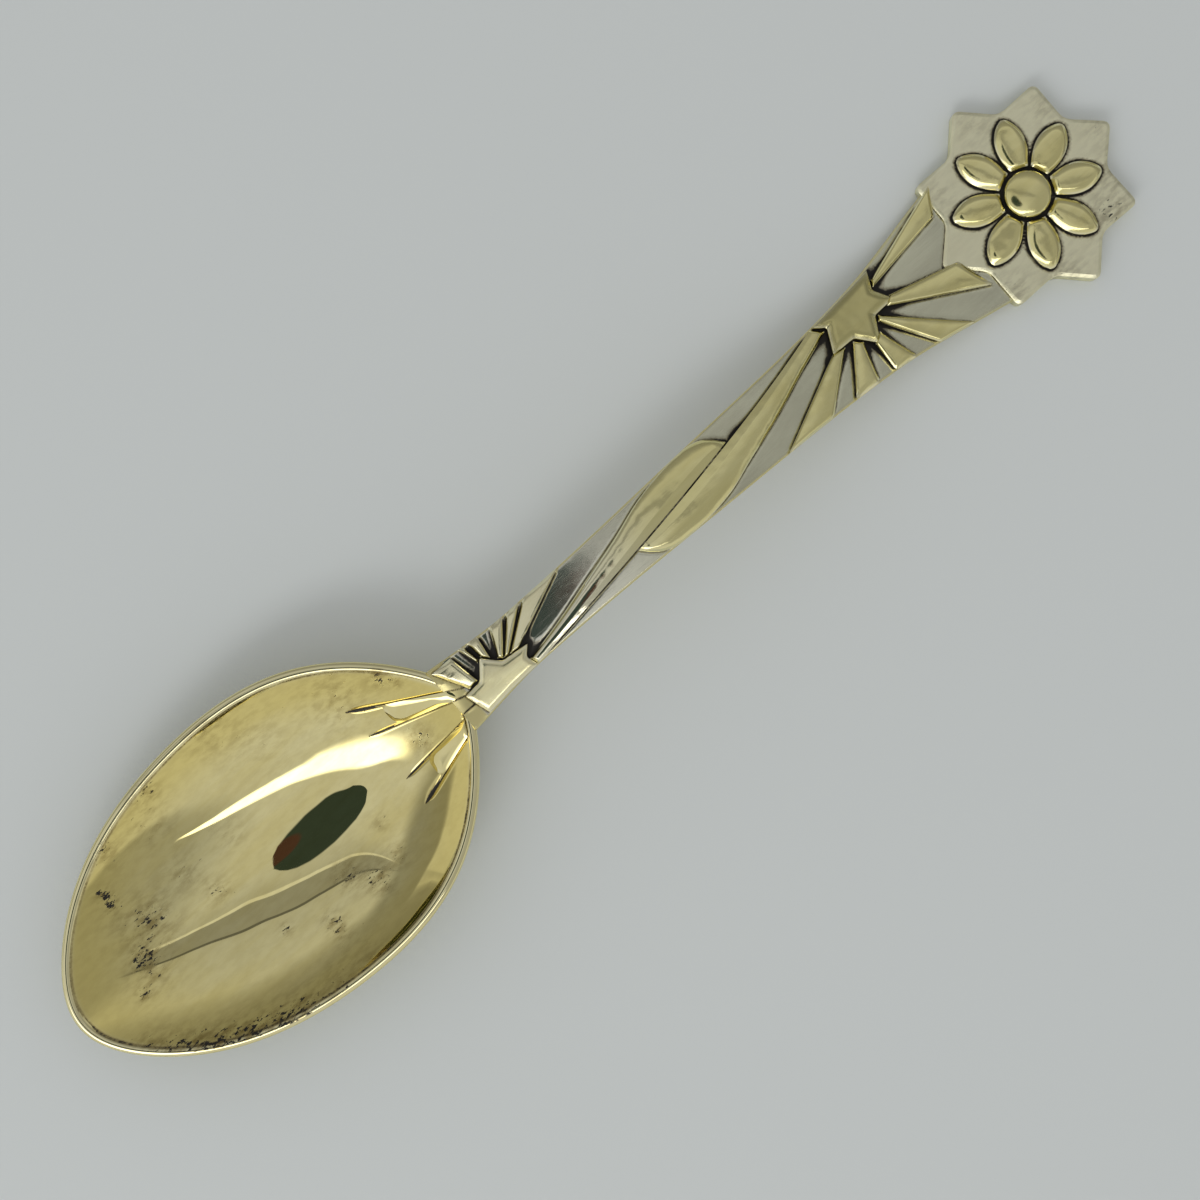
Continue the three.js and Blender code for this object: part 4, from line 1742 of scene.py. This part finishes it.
@dataclass
class Stem:
    """The stem's body, with the heel under the bowl."""

    form: StemForm
    palette: Palette
    step: float = 0.2
    rows: int = 64
    groove: float = 0.14
    heel_steps: int = 14
    joint_gap: float = 0.02
    end_overlap: float = 0.4
    least_wall: float = 0.05
    neck_zone: float = 2.4
    gilt_to: Plan = (1.9, 2.3)
    gilt_edge: Plan = (0.12, 0.3)
    pale_share: float = 0.8
    pale_to: Plan = (18.0, 36.0)

    def stations(self) -> list[float]:
        """Places along the stem where its grid has a line.

        Returns:
            The places, from the heel to the finial.
        """
        form, steps = self.form, self.heel_steps
        heel = [lerp(-form.heel, -self.joint_gap, i / steps) for i in range(steps + 1)]
        count = round(form.end / self.step)
        return heel + [(form.end + self.end_overlap) * i / count for i in range(count + 1)]

    def build(self, patina: Patina, neck: Patina, grime: Ground) -> None:
        """Model and dress the stem.

        Args:
            patina: Recesses round the relief.
            neck: Recesses between the rays that run into the bowl.
            grime: How much oxide is left in the recesses.
        """
        form, xs = self.form, self.stations()
        body = Bench.sheet("stem_body", len(xs) - 1, self.rows)
        for vertex in body.data.vertices:
            x = xs[round((vertex.co.x + 1) / 2 * (len(xs) - 1))]
            half = form.half_width(x)
            y = half * vertex.co.y
            edge = clamp((abs(y) - (half - form.edge_round)) / form.edge_round, 0.0, 1.0)
            drop = form.edge_round * (1 - math.sqrt(max(1 - edge**2, 0.0)))
            if x < 0:
                z = min(form.top(x), form.bowl.outside(x, y) + 0.3)
            else:
                z = form.ground(x, y) - drop - self.groove * patina.at(x, y)
            vertex.co = placed(x, y, z)

        def foot(co: Vector) -> float:
            """Height of the underside, kept off the table at the finial.

            Args:
                co: A point of the sheet that was pulled down, in metres.

            Returns:
                The height in metres.
            """
            x, y, z = planned(co)
            low = form.underside(x, y)
            if x > form.end - 4:
                low = max(low, self.least_wall)
            return min(low, z + PULL - self.least_wall) * MM

        Bench.thicken(body, foot)
        Bench.shade(body, 45.0)
        oxide, pale, gilded_and_shade = [], [], []
        for vertex in body.data.vertices:
            x, y, z = planned(vertex.co)
            top = z > form.ground(x, y) - 0.6 and x > 0
            inward = form.inward(x, y)
            recess = patina.at(x, y) * grime(x, y)
            # Painted shade: the black of the bowl's neck grooves runs on onto the stem.
            if x < self.neck_zone:
                recess = max(recess, 0.8 * neck.at(x, y))
            oxide.append(recess * smoothstep(0.05, 0.3, inward) if top else 0.0)
            pale.append(self.pale_share * (1 - smoothstep(*self.pale_to, x)))
            bare = min(smoothstep(*self.gilt_to, x), smoothstep(*self.gilt_edge, inward))
            gilded_and_shade.append(1 - bare if top else 1.0)
        Bench.mark(body, Mark.OXIDE_AND_SHADE, oxide)
        Bench.mark(body, Mark.PALE, pale)
        Bench.mark(body, Mark.GILDED_AND_SHADE, gilded_and_shade)
        self.palette.dress(body, SILVER, Slot.SILVER, "stem")


@dataclass
class Finial:
    """The eight-pointed star at the end, with its petal rosette."""

    form: StemForm
    palette: Palette
    radius: float = 13.2
    thickness: float = 2.25
    bevel: float = 0.42
    drop: float = 0.26
    petal_height: float = 0.95
    petal_root: float = 3.15
    petal_tip: float = 9.2
    petal_spacing: float = 0.4
    boss_radius: float = 2.8
    boss_height: float = 1.45
    boss_skirt: float = 0.45
    boss_sink: float = 0.2
    boss_bend: float = 0.9
    seam: float = 0.36
    groove: float = 0.12
    soot: float = 0.88
    tarnished: float = 0.06
    stains: Sequence[Stain] = (
        (-3.0, -10.5, 2.5, 0.5), (6.0, -8.5, 3.0, 0.6), (10.0, -4.5, 2.5, 0.5), (1.0, 10.5, 2.5, 0.3),
        (8.5, 6.5, 2.0, 0.35), (11.5, 0.5, 1.6, 0.35), (-8.5, -7.5, 2.0, 0.45), (-8.0, 7.0, 2.0, 0.3),
    )

    @property
    def points(self) -> int:
        """How many points the star has, and petals the rosette."""
        return self.form.finial_points

    def spot(self, radius: float, turn: float) -> Plan:
        """Plan point at a radius and a turn about the star's centre."""
        return self.form.length + radius * math.cos(turn), radius * math.sin(turn)

    def top(self, x: float, y: float) -> float:
        """Height of the star's upper face, which is dished a little towards each point."""
        radius = math.hypot(x - self.form.length, y)
        return self.thickness - 0.12 * smoothstep(4.0, 9.5, radius) + 0.1 * smoothstep(9.5, 13.0, radius)

    def build(self) -> None:
        """Model and dress the finial."""
        petal = self.petal()
        self.star(Patina(self.rosette_outline(petal), lambda x, y: self.seam))
        self.petals(petal)
        self.boss()

    def petal(self) -> Blade:
        """The petal that the others are copies of.

        Returns:
            The petal, not yet turned into its place.
        """

        def side(sign: float) -> Edge:
            """One of its sides.

            Args:
                sign: 1 for the left side, -1 for the right one.

            Returns:
                The side, from root to tip.
            """

            def at(t: float) -> Plan:
                """A point of the side.

                Args:
                    t: Share of the way along.

                Returns:
                    The plan point.
                """
                along = lerp(self.petal_root, self.petal_tip, t)
                sector = along * math.tan(math.pi / self.points) - self.petal_spacing / 2
                half = lerp(0.2, sector, max(math.cos(math.pi / 2 * t), 0.0) ** 0.8)
                return self.form.length + along, sign * half

            return at

        return Blade(
            "petal_bar", side(1.0), side(-1.0), self.top, self.petal_height,
            side_chamfer=0.9, end_chamfer=1.2, start_chamfer=0.6, wall=0.4, crown=0.2, columns=36, rows=22,
        )

    def rosette_outline(self, petal: Blade) -> list[Plan]:
        """Points along the feet of the petals and the boss.

        Args:
            petal: The petal, not yet turned.

        Returns:
            The points.
        """
        made = []
        base = [(x - self.form.length, y) for x, y in petal.outline(60)]
        for i in range(self.points):
            cos, sin = math.cos(self.turn(i)), math.sin(self.turn(i))
            made += [(self.form.length + x * cos - y * sin, x * sin + y * cos) for x, y in base]
        made += [self.spot(self.boss_radius, k * math.pi / 90) for k in range(180)]
        return made

    def turn(self, number: int) -> float:
        """Turn of a petal about the star's centre."""
        return (number + 0.5) * 2 * math.pi / self.points

    def plate(self) -> StarPlate:
        """The star's plate.

        Returns:
            The plate, ready to be built.
        """
        turns = [math.pi / 2 + i * math.pi / self.points for i in range(2 * self.points)]
        radii = (self.radius, self.form.finial_notch)
        points = [self.spot(radii[i % 2], turn) for i, turn in enumerate(turns)]
        return FacetPlate(
            "finial_plate", points, lambda x, y: 0.0, self.thickness, self.bevel, self.drop,
            sink=0.0, grain=0.3, round=0.25, blunt=0.8,
        )

    def star(self, patina: Patina) -> None:
        """Model and dress the plate of the star.

        Args:
            patina: Recesses round the rosette.
        """
        piece = self.plate().build()
        oxide = piece.data.attributes[Mark.OXIDE_AND_SHADE.value]
        for vertex, value in zip(piece.data.vertices, oxide.data):
            x, y, z = planned(vertex.co)
            lifted = smoothstep(self.thickness - 0.15, self.thickness - 0.02, z)
            depth = patina.at(x, y)
            vertex.co.z += (self.top(x, y) - self.thickness - self.groove * depth) * lifted * MM
            value.value = self.soot * depth * lifted
        tarnish = []
        for vertex in piece.data.vertices:
            x, y, _ = planned(vertex.co)
            tarnish.append(self.tarnished + stained(self.stains, x - self.form.length, y))
        Bench.mark(piece, Mark.TARNISH, tarnish)
        self.palette.dress(piece, SATIN, Slot.SILVER, "finial_star")

    def petals(self, blade: Blade) -> None:
        """Model and dress the petals, one modelled and the others turned copies of it.

        Args:
            blade: The petal, not yet turned.
        """
        pieces = [blade.build()]
        for _ in range(1, self.points):
            piece = pieces[0].copy()
            piece.data = pieces[0].data.copy()
            bpy.context.scene.collection.objects.link(piece)
            pieces.append(piece)
        centre = Matrix.Translation(placed(self.form.length, 0.0, 0.0))
        for i, piece in enumerate(pieces):
            piece.name = f"petal_{i + 1}_bar"
            piece.data.transform(centre @ Matrix.Rotation(self.turn(i), 4, "Z") @ centre.inverted())
            self.palette.dress(piece, GILT, Slot.GILT, f"petal_{i + 1}")

    def boss(self) -> None:
        """The domed boss in the middle."""
        bpy.ops.object.select_all(action="DESELECT")
        bpy.ops.mesh.primitive_uv_sphere_add(segments=64, ring_count=32, radius=1.0)
        dome = Bench.start("centre_boss_dome")
        base, skirt, spread = self.thickness - self.boss_sink, self.boss_skirt, self.boss_radius
        with Bench.editing(dome):
            bpy.ops.mesh.bisect(plane_co=(0, 0, 0), plane_no=(0, 0, 1), use_fill=True, clear_inner=True)
        for vertex in dome.data.vertices:
            x, y, z = vertex.co
            lift = base
            if z >= 1e-4:
                lift = self.thickness + skirt + (self.boss_height - skirt) * z**self.boss_bend
            vertex.co = placed(self.form.length + x * spread, y * spread, lift)
        Bench.close(dome)
        Bench.shade(dome, 50.0)
        mark_relief(dome, self.top, lambda x, y: skirt)
        self.palette.dress(dome, GILT, Slot.GILT, "centre_boss")


# The studio


@dataclass(frozen=True)
class Lamp:
    """A long soft lamp that faces the spoon, placed by slopes from straight up."""

    name: str
    start: Plan
    end: Plan
    breadth: float
    radiance: float
    above: float = 0.8

    def hang(self) -> None:
        """Add the lamp."""
        a, b = [Vector((x, y, 1.0)) * self.above for x, y in (self.start, self.end)]
        middle, along = (a + b) / 2, (b - a).normalized()
        away = (middle - along * middle.dot(along)).normalized()
        data = bpy.data.lights.new(self.name, "AREA")
        data.shape = "RECTANGLE"
        data.size, data.size_y = (b - a).length, self.breadth * self.above
        data.energy = self.radiance * math.pi * data.size * data.size_y
        lamp = bpy.data.objects.new(self.name, data)
        bpy.context.scene.collection.objects.link(lamp)
        turned = Matrix((along, away.cross(along), away)).transposed().to_4x4()
        lamp.matrix_world = Matrix.Translation(middle) @ turned
        lamp.visible_glossy = False


@dataclass(frozen=True)
class Shade:
    """A dim oval card overhead, placed by slopes from straight up."""

    middle: Plan
    half: Plan
    colour: Colour
    soft: float = 0.08
    corner: float = 2.6

    def mask(self, sheet: Sheet, slopes: Sequence[object]) -> bpy.types.NodeSocket:
        """The card as a mask.

        Args:
            sheet: The world's nodes.
            slopes: Slopes of the direction that is looked in.

        Returns:
            1 inside the card, 0 outside.
        """
        squares = []
        for slope, middle, half in zip(slopes, self.middle, self.half):
            offset = sheet.math("DIVIDE", sheet.math("SUBTRACT", slope, middle), half)
            squares.append(sheet.math("POWER", sheet.math("ABSOLUTE", offset), self.corner))
        return sheet.step(sheet.math("ADD", *squares), 1 + self.soft, 1 - self.soft)


@dataclass(frozen=True)
class Strip:
    """A curved strip overhead, given by places and half-breadths in slopes from straight up."""

    stations: Sequence[tuple[float, float, float]]
    start: Plan
    end: Plan
    soft: float
    spread: float = 4.0

    def mask(self, sheet: Sheet, slopes: Sequence[object]) -> bpy.types.NodeSocket:
        """The strip as a mask.

        Args:
            sheet: The world's nodes.
            slopes: Slopes of the direction that is looked in.

        Returns:
            1 inside the strip, 0 outside.
        """
        x, y = slopes
        first, span = self.stations[0][0], self.stations[-1][0] - self.stations[0][0]
        share = sheet.math("DIVIDE", sheet.math("SUBTRACT", x, first), span)
        shares = [(at - first) / span for at, _, _ in self.stations]
        places = [middle / self.spread + 0.5 for _, middle, _ in self.stations]
        breadths = [half / self.spread for _, _, half in self.stations]
        middle, half = [levels(sheet, share, list(zip(shares, row))) for row in (places, breadths)]
        offset = sheet.math("SUBTRACT", sheet.math("MULTIPLY_ADD", y, 1 / self.spread, 0.5), middle)
        apart = sheet.math("DIVIDE", sheet.math("ABSOLUTE", offset), half)
        strip = sheet.step(apart, 1 + self.soft, 1 - self.soft)
        ends = sheet.math("MULTIPLY", sheet.step(x, *self.start), sheet.step(x, *self.end))
        return sheet.math("MULTIPLY", strip, ends)


def levels(sheet: Sheet, share: object, stops: Sequence[Plan]) -> bpy.types.NodeSocket:
    """Grey levels along a ramp.

    Args:
        sheet: The tree to add it to.
        share: Place along the ramp.
        stops: Places and levels, in order.

    Returns:
        The level.
    """
    ramp = sheet.add("ValToRGB", None, Fac=share)
    marks = ramp.color_ramp.elements
    for position, _ in stops[1:-1]:
        marks.new(position)
    for mark, (position, level) in zip(marks, stops):
        mark.position = position
        mark.color = grey(level)
    return ramp.outputs["Color"]


@dataclass
class Studio:
    """Floor, light and camera."""

    lamps: Sequence[Lamp] = (Lamp("window", (-0.5, -0.6), (-1.9, -0.25), 0.4, 4.0),)
    pane: Strip = Strip(
        (
            (0.0, -1.06, 0.02), (-0.056, -0.956, 0.04), (-0.131, -0.845, 0.07), (-0.227, -0.775, 0.1),
            (-0.307, -0.72, 0.12), (-0.38, -0.69, 0.14), (-0.6, -0.67, 0.2), (-0.95, -0.68, 0.33),
            (-1.3, -0.6, 0.48), (-2.27, -0.3, 0.95), (-3.4, 0.2, 1.3),
        ),
        (0.02, -0.056), (-3.0, -1.9), 0.3,
    )
    pane_level: float = 2.6
    pane_colour: Colour = (1.0, 0.99, 0.96)
    backdrop: Colour = (0.50, 0.525, 0.52)
    horizon: float = 0.05
    far_side: float = 33.0
    widest: float = 4.0
    room: Sequence[Plan] = (
        (-4.0, 0.64), (-2.0, 0.62), (-1.0, 0.6), (-0.3, 0.6), (-0.05, 0.57), (0.1, 0.46), (0.26, 0.46),
        (0.5, 0.5), (0.72, 0.53), (0.85, 0.44), (1.05, 0.35), (1.5, 0.29), (4.0, 0.26),
    )
    edges: Sequence[tuple[float, float, float]] = (
        (0.12, 0.25, 0.3), (0.102, 0.12, 0.72), (0.24, 0.256, 0.13)
    )
    edge_run: tuple[Plan, Plan] = ((-0.5, -0.2), (3.8, 1.4))
    crisp: float = 0.0025
    shades: Sequence[Shade] = (
        Shade((0.75, -1.4), (0.95, 1.35), (0.38, 0.38, 0.37), 0.4),
        Shade((-3.2, 5.0), (2.9, 2.8), (0.28, 0.28, 0.27), 0.5),
    )
    card: Strip = Strip(
        (
            (-0.089, 0.117, 0.004), (-0.094, 0.11, 0.06), (-0.103, 0.091, 0.12), (-0.12, 0.082, 0.167),
            (-0.149, 0.089, 0.199), (-0.19, 0.096, 0.225), (-0.24, 0.11, 0.243), (-0.3, 0.113, 0.254),
            (-0.42, 0.13, 0.25), (-0.55, 0.142, 0.226), (-0.635, 0.24, 0.12), (-0.709, 0.3, 0.004),
        ),
        (-0.086, -0.09), (-0.712, -0.706), 0.05,
    )
    card_colour: Colour = (0.035, 0.05, 0.045)
    patch: Shade = Shade((-0.115, 0.0), (0.045, 0.1), (0.072, 0.037, 0.03), 0.3)
    ambient: float = 0.65
    camera_at: tuple[float, float, float] = (-2.4, -2.55, 240.0)
    camera_turn: float = -41.4
    lens: float = 60.63
    sensor: float = 36.0
    clip: float = 0.01
    floor_half: float = 1.5
    floor_drop: float = 0.00005

    def build(self) -> None:
        """Set up everything round the spoon."""
        self.floor()
        self.world()
        for lamp in self.lamps:
            lamp.hang()
        self.camera()

    def floor(self) -> None:
        """A plain table top."""
        floor = Bench.sheet("table_top", 8, 8)
        size = Matrix.Diagonal((self.floor_half, self.floor_half, 1.0, 1.0))
        floor.data.transform(size @ Matrix.Translation((0.0, 0.0, -self.floor_drop)))
        floor.data.materials.append(FloorFinish().material())

    def world(self) -> None:
        """A plain room, bright overhead and dimmer past two edges on the side away from the window."""
        world = bpy.data.worlds.new("plain_room")
        world.use_nodes = True
        world.node_tree.nodes.clear()
        sheet = Sheet(world.node_tree)
        toward = sheet.add("TexCoord").outputs["Generated"]
        x, y, z = sheet.add("SeparateXYZ", None, Vector=toward).outputs
        up = sheet.math("MAXIMUM", z, self.horizon)
        slopes = [sheet.math("DIVIDE", axis, up) for axis in (x, y)]
        turn = math.radians(self.far_side)
        along = sheet.math("MULTIPLY", slopes[0], math.cos(turn))
        along = sheet.math("MULTIPLY_ADD", slopes[1], math.sin(turn), along)
        share = sheet.math("MULTIPLY_ADD", along, 0.5 / self.widest, 0.5)
        room = levels(sheet, share, [(at / self.widest / 2 + 0.5, level) for at, level in self.room])
        for shade in self.shades:
            room = sheet.mix(shade.mask(sheet, slopes), room, rgba(shade.colour))
        beside = sheet.math("MULTIPLY", slopes[0], -math.sin(turn))
        beside = sheet.math("MULTIPLY_ADD", slopes[1], math.cos(turn), beside)
        run = sheet.math("MULTIPLY", *[sheet.step(beside, *ends) for ends in self.edge_run])
        for low, high, level in self.edges:
            rise = sheet.step(along, low - self.crisp, low + self.crisp)
            fall = sheet.step(along, high + self.crisp, high - self.crisp)
            band = sheet.math("MULTIPLY", run, sheet.math("MULTIPLY", rise, fall))
            room = sheet.mix(band, room, grey(level))
        colours = [rgba(colour) for colour in (self.card_colour, self.patch.colour)]
        card = sheet.mix(self.patch.mask(sheet, slopes), *colours)
        room = sheet.mix(self.card.mask(sheet, slopes), room, card)
        dim = sheet.add("Background", None, Color=room)
        bright = sheet.add("Background", None, Color=rgba(self.pane_colour), Strength=self.pane_level)
        shown = self.pick(sheet, self.pane.mask(sheet, slopes), dim, bright)
        even = sheet.add("Background", None, Color=grey(self.ambient))
        plain = sheet.add("Background", None, Color=rgba(self.backdrop))
        path = sheet.add("LightPath").outputs
        light = self.pick(sheet, path["Is Glossy Ray"], even, shown)
        both = self.pick(sheet, path["Is Camera Ray"], light, plain)
        sheet.add("OutputWorld", None, Surface=both.outputs[0])
        bpy.context.scene.world = world

    @staticmethod
    def pick(sheet: Sheet, share: object, low: bpy.types.Node, high: bpy.types.Node) -> bpy.types.Node:
        """A mix of two lights.

        Args:
            sheet: The world's nodes.
            share: How much of the second one.
            low: The first light.
            high: The second light.

        Returns:
            The mix.
        """
        both = sheet.add("MixShader")
        for socket, value in zip(both.inputs, (share, low.outputs[0], high.outputs[0])):
            sheet.feed(socket, value)
        return both

    def camera(self) -> None:
        """The camera, straight above the table."""
        data = bpy.data.cameras.new("view")
        data.lens, data.sensor_width, data.clip_start = self.lens, self.sensor, self.clip
        camera = bpy.data.objects.new("view", data)
        camera.location = [value * MM for value in self.camera_at]
        camera.rotation_euler = (0.0, 0.0, math.radians(self.camera_turn))
        bpy.context.scene.collection.objects.link(camera)
        bpy.context.scene.camera = camera


def main() -> None:
    """Build the spoon and its studio."""
    logging.basicConfig(level=logging.INFO)
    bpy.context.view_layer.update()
    bpy.context.scene.view_settings.view_transform = "Standard"
    bowl_form = BowlForm()
    stem_form = StemForm(bowl_form)
    palette = Palette()
    palette.mix()
    relief = Relief(stem_form, palette)
    relief.build()
    Bowl(bowl_form, palette).build(Patina(relief.bowl_outline, relief.bowl_reach))
    finial = Finial(stem_form, palette)
    outline = [p for p in relief.stem_outline if relief.shelter(*p) > 0.5] + finial.plate().outline()
    neck = Patina(relief.neck_outline, relief.bowl_reach)
    Stem(stem_form, palette).build(Patina(outline, relief.stem_reach), neck, relief.grime)
    finial.build()
    Studio().build()


if __name__ == "__main__":
    main()
